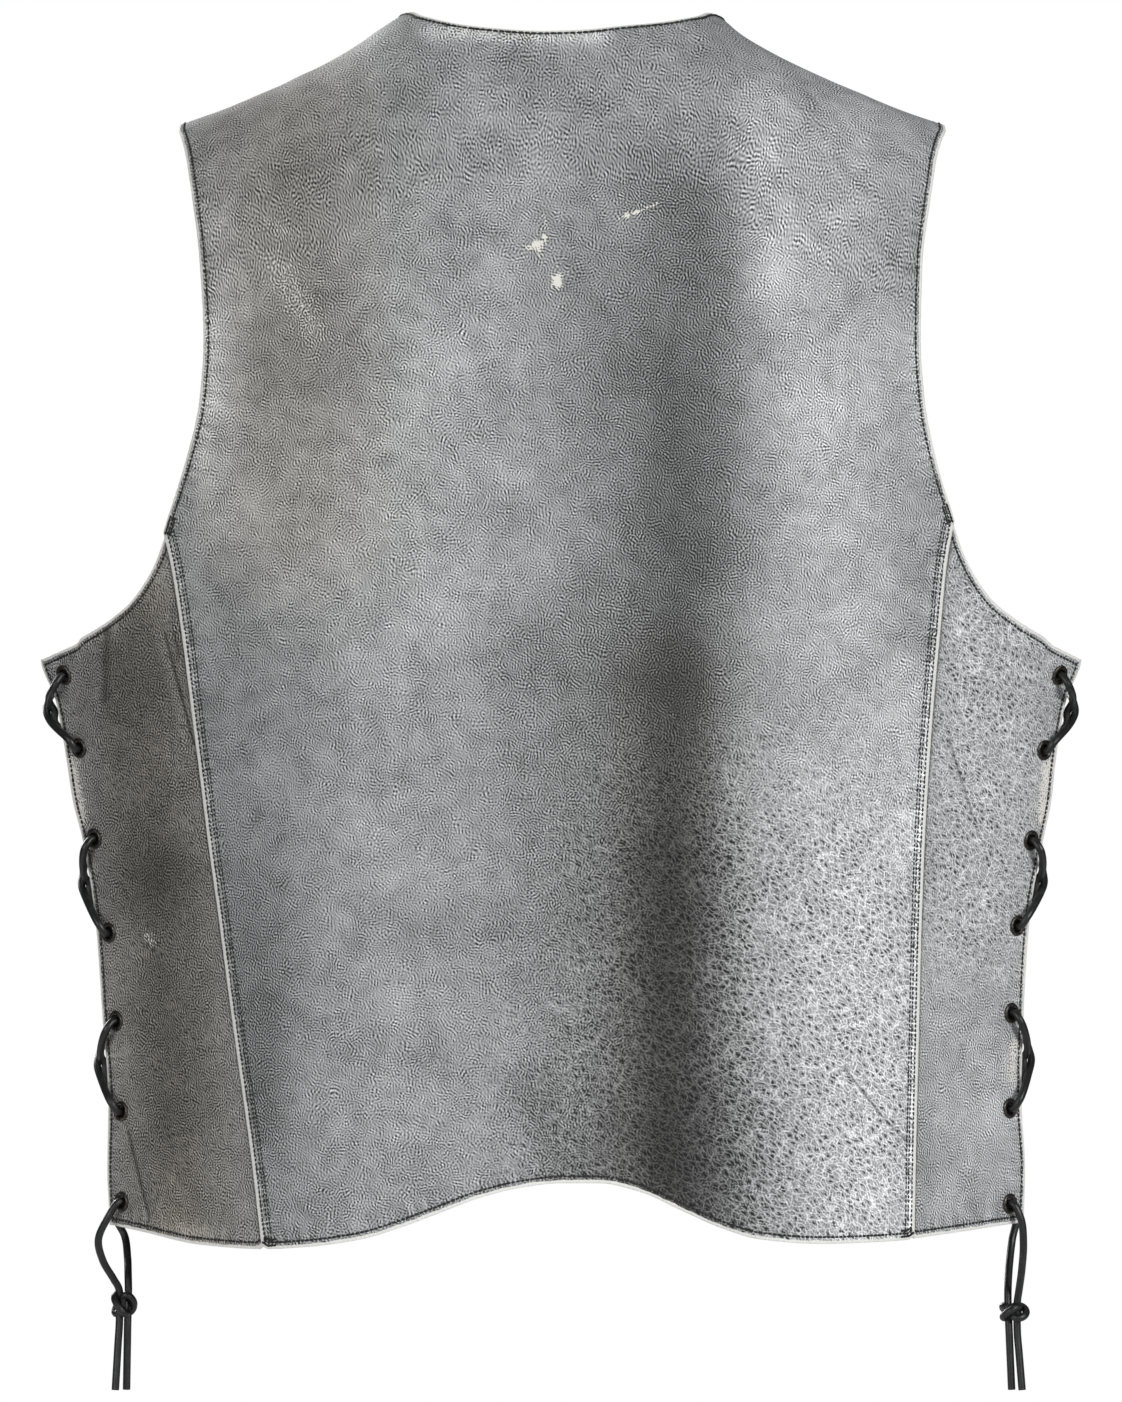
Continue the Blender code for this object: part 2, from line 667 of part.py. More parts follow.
def outside_crossing(start, end, reach, clear):
    """Route over the lacing gap from one eyelet out to the next one in."""
    (a, na), (b, nb) = start, end
    side = 1.0 if a.x > 0.0 else -1.0
    level = 0.5 * (a.z + b.z)
    middle = Vector((side * (half_width(level, side) + reach), 0.0, level))
    slope = Vector((0.0, 0.0, b.z - a.z)).normalized()
    near_a = a + na * LACE_RISE + Vector((side * LACE_LEAN, 0.0, 0.0)) + slope * LACE_RUN
    near_b = b + nb * LACE_RISE + Vector((side * LACE_LEAN, 0.0, 0.0)) - slope * LACE_RUN
    level_a = level - slope.z * EDGE_PASS_RISE
    level_b = level + slope.z * EDGE_PASS_RISE
    face = 1.0 if a.y > 0.0 else -1.0
    pass_a = Vector((side * (half_width(level_a, side) + clear), face * EDGE_PASS_DEPTH, level_a))
    pass_b = Vector((side * (half_width(level_b, side) + clear), -face * EDGE_PASS_DEPTH, level_b))
    return [
        (a + na * LACE_OUT, 2), (near_a, 2), (pass_a, 1), (middle, 1), (pass_b, 2), (near_b, 2),
        (b + nb * LACE_OUT, 1),
    ]


def inside_crossing(start, end, reach):
    """Route behind the lacing gap from one eyelet in to the next one out."""
    (a, na), (b, nb) = start, end
    side = 1.0 if a.x > 0.0 else -1.0
    level = 0.5 * (a.z + b.z)
    middle = Vector((side * (half_width(level, side) - reach), 0.0, level))
    slope = Vector((0.0, 0.0, b.z - a.z)).normalized()
    near_a = a - na * (LACE_IN + LACE_INSIDE_SWEEP) + slope * LACE_INSIDE_RUN
    near_b = b - nb * (LACE_IN + LACE_INSIDE_SWEEP) - slope * LACE_INSIDE_RUN
    return [(a - na * LACE_IN, 2), (near_a, 2), (middle, 2), (near_b, 2), (b - nb * LACE_IN, 1)]


def top_bar(first, other):
    """Route from the middle of the top bar to the first eyelet."""
    place, normal = first
    side = 1.0 if place.x > 0.0 else -1.0
    near = place - normal * (LACE_IN + TOP_BAR_SWEEP)
    half = 0.5 * SEAM_GAP * (1.0 if place.y > 0.0 else -1.0)
    level = 0.5 * (place.z + other[0].z)
    start = Vector((near.x - side * TOP_BAR_INSET, half, level))
    step = Vector((start.x, TOP_BAR_BEND * near.y, level))
    return [(start, 1), (step, 1), (near, 2), (place - normal * LACE_IN, 1)]


def lace_route(first, second, hang, reaches):
    """Strand that leaves the first eyelet of one edge and crosses to the other edge at each step."""
    side = 1.0 if first[0][0].x > 0.0 else -1.0
    route = top_bar(first[0], second[0])
    edges = (first, second)
    for step in range(6):
        start = edges[step % 2][step]
        end = edges[(step + 1) % 2][step + 1]
        if step % 2 == 0:
            flare = TIP_FLARE if step == 0 else 0.0
            route += outside_crossing(start, end, reaches[0] + 3.0 * flare, EDGE_PASS + flare)
        else:
            route += inside_crossing(start, end, reaches[1])
    place, normal = first[6]
    route.append((place + normal * LACE_OUT, 2))
    route += [(Vector((side * out, y, z)), 2) for out, y, z in hang]
    return route


def knot_line(side, out, level, tall, ring):
    """Closed line of a drawn knot: two wraps that pass over and under each other."""
    line = []
    for k in range(KNOT_POINTS):
        t = 2.0 * math.pi * k / KNOT_POINTS
        radius = ring + KNOT_WRAP * math.cos(3.0 * t)
        turn = 2.0 * t * side
        height = level + tall * math.sin(3.0 * t)
        line.append(Vector((side * out + radius * math.cos(turn), radius * math.sin(turn), height)))
    return line


for old in list(bpy.data.objects):
    bpy.data.objects.remove(old, do_unlink=True)

leather_back = material("leather_back", LEATHER, 0.0, 0.6)
leather_sides = material("leather_sides", LEATHER, 0.0, 0.6)
leather_fronts = material("leather_fronts", LEATHER, 0.0, 0.6)
lace_leather = material("lace_leather", LACE_LEATHER, 0.0, 0.45)
eyelet_metal = material("eyelet_metal", DARK_METAL, 1.0, 0.4)
snap_metal = material("snap_metal", DARK_METAL, 1.0, 0.4)

# Panels
back_places = back_grid()
middle_column = SHOULDER_COLUMNS + NECK_COLUMNS // 2
add_panel("back_panel", back_places, no_offset, False, leather_back, middle_column)
SIDE_NAMES = ((-1, "left"), (1, "right"))
panels = {}
for side, word in SIDE_NAMES:
    side_places = side_grid(side, back_places)
    panels["side", side] = add_panel("side_panel_" + word, side_places, side_offset, side < 0, leather_sides)
    front_places = front_grid(side, back_places)
    lower = under_front_offset if side > 0 else front_offset
    panels["front", side] = add_panel("front_" + word, front_places, lower, side < 0, leather_fronts)

# Eyelets, laces, knots and tails
ring_profile = eyelet_profile()
for side, word in SIDE_NAMES:
    rows = EYELETS_LEFT if side < 0 else EYELETS_RIGHT
    edges = {}
    for part, face in (("side", 1), ("front", -1)):
        panel, tree = panels[part, side]
        spots = []
        for number, (z, inset) in enumerate(rows):
            x = side * (half_width(z, side) - inset)
            p = run_at(x, z, face)
            spot = on_sheet(tree, form(x, p), form_normal(x, p))
            spots.append(spot)
            points, faces = revolve(ring_profile, spot[0], spot[1], EYELET_SIDES)
            label = "eyelet_%s_%s_%d" % ("back" if part == "side" else "front", word, number + 1)
            add_mesh(label, points, faces, eyelet_metal)
        cut_holes(panel, spots, "holes_%s_%s" % (part, word))
        edges[part] = spots
    back_edge = edges["side"]
    front_edge = edges["front"]
    hang_back = HANG_LEFT_BACK if side < 0 else HANG_RIGHT_BACK
    hang_front = HANG_LEFT_FRONT if side < 0 else HANG_RIGHT_FRONT
    strand = smooth_route(lace_route(back_edge, front_edge, hang_back, BACK_REACH))
    add_cord("lace_%s_back" % word, strand, lace_leather)
    strand = smooth_route(lace_route(front_edge, back_edge, hang_front, FRONT_REACH))
    add_cord("lace_%s_front" % word, strand, lace_leather)

knot_foot = {}
for side, out, level, tall, ring in KNOTS:
    word = "left" if side < 0 else "right"
    line = knot_line(side, out, level, tall, ring)
    knot_foot[side] = min(point.z for point in line) - 0.5 * LACE - SEAM_GAP
    add_cord("knot_" + word, line, lace_leather, closed=True)

for side, name, out_top, out_end, depth_top, depth_end, rise in TAILS:
    word = "left" if side < 0 else "right"
    ends = [(side * out_top, depth_top, knot_foot[side] + rise), (side * out_end, depth_end, TAIL_END)]
    add_cord("tail_%s_%s" % (word, name), [Vector(row) for row in even(ends, TAIL_POINTS)], lace_leather)

# Snap caps on the front overlap
front_tree = panels["front", -1][1]
for number, (z, x) in enumerate(SNAPS):
    p = run_at(x, z, -1)
    spot, normal = on_sheet(front_tree, form(x, p), form_normal(x, p))
    radius = 0.5 * SNAP_CAP
    cap = (
        (0.0, SNAP_SEAT), (radius, SNAP_SEAT), (radius, SNAP_SEAT + 0.8),
        (0.72 * radius, SNAP_SEAT + 0.8 * SNAP_HEIGHT), (0.0, SNAP_SEAT + SNAP_HEIGHT),
    )
    points, faces = disc_solid(cap, spot, normal, SNAP_SIDES)
    add_mesh("snap_%d" % (number + 1), points, faces, snap_metal)
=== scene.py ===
import math

import bpy
import numpy as np
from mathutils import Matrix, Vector, noise
from mathutils.bvhtree import BVHTree
from mathutils.kdtree import KDTree


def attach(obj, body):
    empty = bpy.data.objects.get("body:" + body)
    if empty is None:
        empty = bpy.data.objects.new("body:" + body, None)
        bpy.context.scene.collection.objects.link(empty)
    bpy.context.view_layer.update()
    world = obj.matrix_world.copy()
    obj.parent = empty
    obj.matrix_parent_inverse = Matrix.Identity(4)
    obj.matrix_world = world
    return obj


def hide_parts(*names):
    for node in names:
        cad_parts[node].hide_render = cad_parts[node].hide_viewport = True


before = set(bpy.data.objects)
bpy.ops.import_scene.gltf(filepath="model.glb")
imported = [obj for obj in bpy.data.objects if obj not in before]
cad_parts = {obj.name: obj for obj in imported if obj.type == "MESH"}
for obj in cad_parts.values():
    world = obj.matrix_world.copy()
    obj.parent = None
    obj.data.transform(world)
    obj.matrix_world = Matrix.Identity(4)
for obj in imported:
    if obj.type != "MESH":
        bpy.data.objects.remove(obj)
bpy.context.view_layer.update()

# Distressed grey leather vest with laced sides, seen from behind. Tables are in millimetres.
MM = 0.001

# Sizes of the vest
WALL = 2.0
SEAM_GAP = 0.3
SHOULDER_DROP = 110.0
LACING_HALF_GAP = 7.0
SECTION_POWER = 2.6
SHOULDER_SEAM_FORWARD = 6.0
SHOULDER_LAP = 12.0
SHOULDER_TIP = 210.5
NECK_CORNER = 87.0
NECK_SEAM_END = 87.6
VIEW_DISTANCE = 5000.0
VIEW_HEIGHT = -343.0
CAMERA_HEIGHT = -342.65
FRONT_OVERLAP = 25.0
V_NECK_DEPTH = -250.0
FRONT_HEM_CENTRE = -604.0
FRONT_ARMHOLE_CUT = 14.0
FRONT_STEP_START = 30.0
FRONT_STEP_RUN = 45.0
V_NECK_BOW = 0.38
ARMHOLE_TOP = -45.0
TIP_MARGIN = 9.0
UNDERARM = -320.0
HEM_CORNER = -630.5
NECK_FADE = 4.0
NECK_START = 10.0 / 32.0
NECK_END = 22.0 / 32.0
SIDE_LAP = 1.0 / 32.0
SIDE_STEP_SHARE = 0.6
ARMHOLE_CLEAR = 6.0
SHOULDER_TIP_RUN = 8.0
FRONT_TOP_STEP = 4.0
NORMAL_STEP = 0.5
VIEW_PASSES = 12

# Sizes of the trim
LACE = 4.2
PANEL_HOLE = 8.0
TAIL_END = -721.5
LACE_OUT = 2.4
LACE_IN = 4.4
LACE_RISE = 4.6
LACE_LEAN = 2.2
LACE_RUN = 5.0
LACE_INSIDE_SWEEP = 3.4
LACE_INSIDE_RUN = 4.5
TOP_BAR_SWEEP = 3.0
TOP_BAR_INSET = 2.0
TOP_BAR_BEND = 0.45
BACK_REACH = (0.8, 17.0, 2.6)
FRONT_REACH = (5.2, 22.8, 3.8)
EDGE_PASS_DEPTH = 6.8
EDGE_PASS_RISE = 6.0
TIP_FLARE = 0.9
TIP_BOW = 1.5
KNOT_LENGTH = 17.0
TAIL_SHARES = (0.0, 0.35, 0.7, 1.0)

# Shoulder line: place from left to right, height
SHOULDER_LINE = (
    (-300.0, -55.0), (-240.0, -36.0), (-210.5, -26.0), (-199.0, -22.0), (-188.0, -18.2), (-177.0, -13.8),
    (-166.0, -9.0), (-155.0, -4.4), (-144.0, 1.0), (-133.0, 6.0), (-122.0, 12.0), (-111.0, 18.8),
    (-100.0, 26.6), (-87.0, 34.6), (-70.0, 42.0), (-40.0, 46.5), (0.0, 48.0), (40.0, 46.5),
    (70.0, 42.0), (87.0, 33.0), (98.0, 24.0), (109.0, 17.2), (120.0, 11.2), (131.0, 5.8), (142.0, 0.8),
    (153.0, -4.0), (164.0, -8.5), (175.0, -13.3), (186.0, -17.7), (197.0, -21.6), (210.5, -26.0),
    (240.0, -36.0), (300.0, -55.0),
)

# Side line: height, half width on the left, half width on the right
SIDE_LINE = (
    (-720.0, 249.0, 254.0), (-631.0, 248.8, 253.8), (-600.0, 250.0, 254.6), (-562.0, 249.4, 252.6),
    (-518.0, 252.5, 253.6), (-463.0, 256.5, 257.0), (-419.0, 263.5, 264.5), (-397.0, 269.0, 269.0),
    (-375.0, 272.4, 271.4), (-342.0, 278.4, 277.2), (-320.0, 286.5, 285.5), (-250.0, 288.0, 288.0),
    (-100.0, 286.0, 286.0), (80.0, 282.0, 282.0),
)

# Fullness: height, how far the middle stands out
FULLNESS = (
    (-720.0, 114.0), (-640.0, 111.0), (-560.0, 105.0), (-480.0, 102.0), (-400.0, 106.0),
    (-300.0, 113.0), (-200.0, 116.0), (-100.0, 115.0), (0.0, 108.0), (80.0, 102.0),
)

# Folds: side (1 back, -1 front), place at the top, middle and hem, height, spread left, spread right
FOLDS = (
    (1, 82.0, 95.0, 128.0, 17.0, 34.0, 78.0),
    (1, 18.0, 24.0, 40.0, -12.0, 62.0, 44.0),
    (1, -104.0, -122.0, -156.0, 11.0, 52.0, 66.0),
    (1, -60.0, -30.0, -40.0, 3.0, 40.0, 46.0),
    (-1, -96.0, -108.0, -132.0, 8.0, 60.0, 48.0),
    (-1, 92.0, 104.0, 126.0, 9.0, 46.0, 62.0),
    (-1, 20.0, 16.0, 4.0, -4.0, 60.0, 60.0),
)
FOLD_START = -40.0
FOLD_FULL = -190.0
FOLD_HEIGHTS = (-640.0, -330.0, -80.0)

# Armhole as seen from behind: height, left, right
ARMHOLE = (
    (-45.0, 206.8, 206.0), (-67.0, 203.6, 202.8), (-100.0, 199.7, 198.6), (-144.0, 197.5, 197.5),
    (-177.0, 199.7, 199.7), (-210.0, 207.2, 206.0), (-243.0, 217.6, 216.2), (-265.0, 224.4, 223.6),
    (-287.0, 237.0, 237.0), (-298.0, 249.0, 250.2), (-309.0, 266.6, 268.0),
)

# Seams as seen from behind, left and right: height, distance from the middle
SEAMS = {
    -1: (
        (-641.9, 165.6), (-590.7, 171.6), (-562.1, 175.5), (-527.5, 180.4), (-490.6, 185.4),
        (-459.8, 189.4), (-423.0, 194.6), (-386.1, 199.2), (-348.7, 204.0), (-304.7, 209.6),
        (-265.1, 216.0), (-250.0, 219.6),
    ),
    1: (
        (-636.6, 194.2), (-577.5, 195.3), (-533.5, 196.4), (-468.6, 198.0), (-420.2, 199.8),
        (-378.4, 202.2), (-342.7, 204.8), (-304.7, 208.3), (-265.1, 212.2), (-243.4, 216.2),
    ),
}

# Hem as seen from behind: distance from the middle, height
HEM = (
    (-248.6, -630.6), (-231.0, -634.6), (-199.0, -641.8), (-166.0, -644.2), (-144.0, -643.2),
    (-111.0, -638.8), (-89.0, -632.2), (-67.0, -624.0), (-45.0, -615.8), (-23.0, -610.4),
    (0.0, -607.8), (21.0, -607.8), (43.0, -612.6), (65.0, -622.6), (87.0, -632.4),
    (109.0, -638.8), (142.0, -641.2), (186.0, -639.4), (208.0, -636.4), (241.0, -631.2),
    (253.8, -629.4),
)

# Neck edge as seen from behind: distance from the middle, height
NECK = (
    (-78.0, 34.6), (-56.0, 29.9), (-34.0, 27.5), (-12.0, 26.3), (10.0, 26.8), (32.0, 29.0),
    (54.0, 31.0), (76.0, 34.6),
)

# Eyelets, left and right: height, distance in from the lacing edge
EYELETS = {
    -1: (
        (-328.4, 11.4), (-368.5, 8.8), (-418.0, 7.4), (-469.7, 7.4), (-518.1, 8.0), (-567.6, 7.8),
        (-617.1, 8.0),
    ),
    1: (
        (-328.4, 10.4), (-369.6, 7.8), (-419.1, 7.4), (-465.9, 7.2), (-513.7, 7.4), (-566.0, 7.2),
        (-618.2, 8.8),
    ),
}

# Snap caps: height, distance from the middle
SNAPS = ((-275.0, 0.5), (-372.0, 0.5), (-469.0, 0.5), (-566.0, 0.5))

# Lace ends below the last eyelet: distance out, depth, height
HANGS = {
    (-1, "back"): (
        (249.0, -18.5, -626.0), (254.2, -15.0, -638.0), (252.0, -9.0, -650.0), (246.4, -3.0, -660.5),
        (243.6, -0.6, -666.3),
    ),
    (-1, "front"): (
        (247.0, 20.5, -626.5), (241.5, 20.0, -638.0), (239.6, 13.0, -649.0), (238.8, 4.0, -659.0),
        (238.6, 2.6, -666.7),
    ),
    (1, "back"): (
        (251.5, -19.0, -626.5), (253.0, -15.5, -640.0), (252.4, -9.0, -655.0), (251.0, -2.5, -668.0),
        (250.4, -1.2, -672.7),
    ),
    (1, "front"): (
        (251.0, 20.5, -627.0), (248.6, 19.5, -640.0), (246.6, 12.0, -654.0), (245.5, 4.0, -666.0),
        (245.4, 2.2, -673.6),
    ),
}

# Knots: side, distance out, height, half height of the wraps, ring radius
KNOTS = ((-1, 241.4, -674.4, 5.2, 3.6), (1, 248.2, -678.6, 3.2, 4.8))
KNOT_WRAP = 2.25

# Tails: side and strand, distance out at the top and at the end, depth at the top and at the end
TAILS = {
    (-1, "back"): (243.4, 245.6, -0.4, -1.4),
    (-1, "front"): (238.9, 239.6, 0.8, 2.2),
    (1, "back"): (250.4, 253.0, -0.6, -1.6),
    (1, "front"): (246.0, 247.4, 0.8, 2.0),
}

SIDE_WORDS = {-1: "left", 1: "right"}


def blend_weights(t):
    """Weights of the start, its slope, the end and its slope along one piece of a smooth curve."""
    return (1.0 + 2.0 * t) * (1.0 - t) ** 2, t * (1.0 - t) ** 2, t * t * (3.0 - 2.0 * t), t * t * (t - 1.0)


def curve_through(xs, ys):
    """Curve through the rows of a table, without overshoot."""
    xs = np.asarray(xs, float)
    ys = np.asarray(ys, float)
    step = np.diff(xs)
    slope = np.diff(ys) / step
    tangent = np.zeros(len(xs))
    tangent[0] = slope[0]
    tangent[-1] = slope[-1]
    for i in range(1, len(xs) - 1):
        if slope[i - 1] * slope[i] > 0.0:
            w1 = 2.0 * step[i] + step[i - 1]
            w2 = step[i] + 2.0 * step[i - 1]
            tangent[i] = (w1 + w2) / (w1 / slope[i - 1] + w2 / slope[i])

    def value(x):
        x = np.clip(x, xs[0], xs[-1])
        i = np.clip(np.searchsorted(xs, x) - 1, 0, len(xs) - 2)
        a, b, c, d = blend_weights((x - xs[i]) / step[i])
        return a * ys[i] + b * step[i] * tangent[i] + c * ys[i + 1] + d * step[i] * tangent[i + 1]

    return value


def table_curve(rows, key, column):
    """Curve of one column of a table over another."""
    ordered = sorted(rows, key=lambda row: row[key])
    return curve_through([row[key] for row in ordered], [row[column] for row in ordered])


def ease(t):
    """0 below 0, 1 above 1 and smooth between."""
    t = np.clip(t, 0.0, 1.0)
    return t * t * (3.0 - 2.0 * t)


shoulder_height = table_curve(SHOULDER_LINE, 0, 1)
half_width_left = table_curve(SIDE_LINE, 0, 1)
half_width_right = table_curve(SIDE_LINE, 0, 2)
fullness = table_curve(FULLNESS, 0, 1)
hem_height = table_curve(HEM, 0, 1)
armhole_left = table_curve(ARMHOLE, 0, 1)
armhole_right = table_curve(ARMHOLE, 0, 2)
fold_places = [curve_through(FOLD_HEIGHTS, (row[3], row[2], row[1])) for row in FOLDS]


def half_width(z, side):
    """Distance of the lacing edge from the middle."""
    return np.where(np.asarray(side) < 0, half_width_left(z), half_width_right(z))


def armhole_edge(side, z):
    """Distance of the armhole from the middle, as seen from behind."""
    return armhole_left(z) if side < 0 else armhole_right(z)


def fold_height(x, z, face):
    """Height of the folds of the back (face 1) or of the fronts (face -1)."""
    total = np.zeros(np.shape(x))
    for row, place in zip(FOLDS, fold_places):
        away = x - place(z)
        spread = np.where(away < 0.0, row[5], row[6])
        total = total + np.where(face == row[0], row[4] * np.exp(-(away / spread) ** 2), 0.0)
    return total * ease((FOLD_START - z) / (FOLD_START - FOLD_FULL))


def depth(x, z, face):
    """Distance of the leather from the mid plane."""
    ratio = np.minimum(np.abs(x) / half_width(z, x), 1.0)
    fold = fold_height(x, z, face) * (1.0 - ratio ** 4)
    return LACING_HALF_GAP + fullness(z) * (1.0 - ratio ** SECTION_POWER) + fold


def form(x, p):
    """Outer form of the vest: p runs down the back from the shoulder line, and down the front below zero."""
    x = np.asarray(x, float)
    p = np.asarray(p, float)
    run = np.abs(p)
    angle = 0.5 * np.pi * np.minimum(run / SHOULDER_DROP, 1.0)
    drop = np.where(run < SHOULDER_DROP, SHOULDER_DROP * (1.0 - np.cos(angle)), run)
    face = np.where(p >= 0.0, 1.0, -1.0)
    z = shoulder_height(x) - drop
    return np.stack((x, -face * np.sin(angle) * depth(x, z, face), z), axis=-1)


def unit(v):
    return v / np.maximum(np.linalg.norm(v, axis=-1, keepdims=True), 1e-12)


def form_normal(x, p):
    """Direction that points straight out of the form."""
    across = form(x + NORMAL_STEP, p) - form(x - NORMAL_STEP, p)
    along = form(x, p + NORMAL_STEP) - form(x, p - NORMAL_STEP)
    return unit(np.cross(along, across))


def run_at(x, z, face):
    """Run p at which the form has height z."""
    drop = np.maximum(shoulder_height(x) - z, 0.0)
    bent = SHOULDER_DROP * 2.0 / np.pi * np.arccos(np.clip(1.0 - drop / SHOULDER_DROP, -1.0, 1.0))
    return face * np.where(drop < SHOULDER_DROP, bent, drop)


def seen(x_seen, z_seen):
    """Places on the back that are seen at (x, z) from the view distance."""
    x_seen = np.asarray(x_seen, float)
    z_seen = np.asarray(z_seen, float)
    x = x_seen
    z = z_seen
    for _ in range(VIEW_PASSES):
        y = form(x, run_at(x, z, 1.0))[..., 1]
        near = (VIEW_DISTANCE + y) / VIEW_DISTANCE
        x = x_seen * near
        z = VIEW_HEIGHT + (z_seen - VIEW_HEIGHT) * near
    return np.stack((x, run_at(x, z, 1.0)), axis=-1)


def run_along(points):
    """Length of a line up to each of its points."""
    return np.concatenate(([0.0], np.cumsum(np.linalg.norm(np.diff(points, axis=0), axis=1))))


def taken_at(rows, run, at):
    """Rows of numbers, read at the given runs along them."""
    return np.column_stack([np.interp(at, run, rows[:, k]) for k in range(rows.shape[1])])


def along_line(points, places):
    """Points of a line at the given shares of its length."""
    points = np.asarray(points, float)
    run = run_along(points)
    return taken_at(points, run, np.asarray(places) * run[-1])


def coons(u, bottom, top, left, right, top_power=1.0):
    """Grid of (x, p) places between four edge lines; the top line's bow fades with the given power."""
    run = np.linalg.norm(np.diff(left, axis=0), axis=1) + np.linalg.norm(np.diff(right, axis=0), axis=1)
    v = np.concatenate(([0.0], np.cumsum(run)))
    v = (v / v[-1])[:, None, None]
    u = np.asarray(u)[None, :, None]
    bottom_bow = bottom[None] - (1.0 - u) * left[0] - u * right[0]
    top_bow = top[None] - (1.0 - u) * left[-1] - u * right[-1]
    across = (1.0 - u) * left[:, None] + u * right[:, None]
    return across + (1.0 - v) * bottom_bow + v ** top_power * top_bow


# Steps of the panels' grids: closer ones next to a sewn edge, even ones elsewhere
EDGE_STEPS = (0.0, 0.5, 1.1, 1.8, 2.6, 3.4, 4.3, 5.4, 6.8, 8.4)
PITCH = 3.0
SIDE_PITCH = 2.6
LAP_PITCH = 1.2
LAP_COUNT = 4

# Lengths that set how many steps an edge gets
SEAM_RUN = 405.0
ARMHOLE_RUN = 245.0
SHOULDER_RUN = 125.0
NECK_RUN = 150.0
SIDE_HEIGHT = 345.0
SIDE_WIDTH = 78.0
FRONT_LACING_RUN = 310.0
FRONT_NECK_RUN = 270.0
FRONT_WIDTH = 250.0


def steps(length, fine_start=False, fine_end=False, pitch=PITCH):
    """Shares of a line's length: even, with closer ones next to a sewn edge."""
    start = list(EDGE_STEPS) if fine_start else [0.0]
    end = [length - s for s in reversed(EDGE_STEPS)] if fine_end else [length]
    count = max(int(round((end[0] - start[-1]) / pitch)), 1)
    middle = np.linspace(start[-1], end[0], count + 1)[1:-1]
    return np.concatenate((start, middle, end)) / length


def join(*parts):
    """Runs of shares, end to end, without the doubled ends."""
    return np.concatenate([parts[0]] + [part[1:] for part in parts[1:]])


def back_edge(side, seam_steps, hole_steps, lap_steps):
    """Left or right edge of the back: seam, armhole and the lap over the front."""
    seam = SEAMS[side]
    heights = np.linspace(seam[0][0], seam[-1][0], 60)
    seam_line = seen(side * table_curve(seam, 0, 1)(heights), heights)
    heights = np.linspace(seam[-1][0] + ARMHOLE_CLEAR, ARMHOLE_TOP, 30)
    tip = side * SHOULDER_TIP
    lap_start = (tip, SHOULDER_LAP - SHOULDER_SEAM_FORWARD)
    hole_line = np.vstack((
        seam_line[-1:], seen(side * armhole_edge(side, heights), heights),
        [(tip, SHOULDER_LAP + SHOULDER_TIP_RUN), lap_start],
    ))
    lap_line = (lap_start, (tip, -SHOULDER_SEAM_FORWARD))
    return join(
        along_line(seam_line, seam_steps), along_line(hole_line, hole_steps), along_line(lap_line, lap_steps),
    )


def back_grid(u, seam_steps, hole_steps, lap_steps):
    """Places of the back panel: rows from the hem to the shoulder seams, columns from left to right."""
    u = np.asarray(u, float)
    left = back_edge(-1, seam_steps, hole_steps, lap_steps)
    right = back_edge(1, seam_steps, hole_steps, lap_steps)
    hem_x = np.linspace(-SEAMS[-1][0][1], SEAMS[1][0][1], 121)[1:-1]
    hem_line = np.vstack((left[:1], seen(hem_x, hem_height(hem_x)), right[:1]))
    forward = -SHOULDER_SEAM_FORWARD
    shoulder_left = ((-SHOULDER_TIP, forward), (-NECK_SEAM_END, forward))
    shoulder_right = ((NECK_SEAM_END, forward), (SHOULDER_TIP, forward))
    neck_x = np.linspace(NECK[0][0], NECK[-1][0], 41)
    neck_line = np.vstack((
        [(-NECK_SEAM_END, forward), (-NECK_CORNER, 0.0)], seen(neck_x, table_curve(NECK, 0, 1)(neck_x)),
        [(NECK_CORNER, 0.0), (NECK_SEAM_END, forward)],
    ))
    at_left = np.clip(u / NECK_START, 0.0, 1.0)
    at_neck = np.clip((u - NECK_START) / (NECK_END - NECK_START), 0.0, 1.0)
    at_right = np.clip((u - NECK_END) / (1.0 - NECK_END), 0.0, 1.0)
    top = np.where(
        (u <= NECK_START)[:, None], along_line(shoulder_left, at_left),
        np.where(
            (u < NECK_END)[:, None], along_line(neck_line, at_neck), along_line(shoulder_right, at_right),
        ),
    )
    return coons(u, along_line(hem_line, u), top, left, right, NECK_FADE)


def lacing_line(side, face):
    """Lacing edge from the hem corner to the underarm tip."""
    z = np.linspace(HEM_CORNER, UNDERARM, 120)
    x = side * half_width(z, side)
    return np.column_stack((x, run_at(x, z, face)))


def side_grid(side, rows, columns):
    """Places of a side panel: columns from the seam out to the lacing edge, after a lap under the back."""
    u = np.linspace(SIDE_LAP, 0.0, LAP_COUNT + 1)
    u = u if side < 0 else 1.0 - u
    near = back_grid(u, rows, steps(ARMHOLE_RUN), steps(SHOULDER_LAP))[:len(rows)]
    lap = near[:, :-1]
    seam = near[:, -1]
    lacing = along_line(lacing_line(side, 1.0), rows)
    x = side * np.linspace(SEAMS[side][0][1], half_width(HEM_CORNER, side), 41)[1:-1]
    hem_line = np.vstack((seam[:1], seen(x, hem_height(x)), lacing[:1]))
    z = np.linspace(SEAMS[side][-1][0], UNDERARM + TIP_MARGIN, 40)[1:]
    hole_line = np.vstack((seam[-1:], seen(side * armhole_edge(side, z), z), lacing[-1:]))
    grid = coons(columns, along_line(hem_line, columns), along_line(hole_line, columns), seam, lacing)
    return np.concatenate((lap, grid), axis=1)


# Rows of a front: at the underarm tip, at the foot of the V neck and at the shoulder
FRONT_LACING_ROWS = 14.0
FRONT_CENTRE_ROWS = 15.0
FRONT_ROWS = 23.0


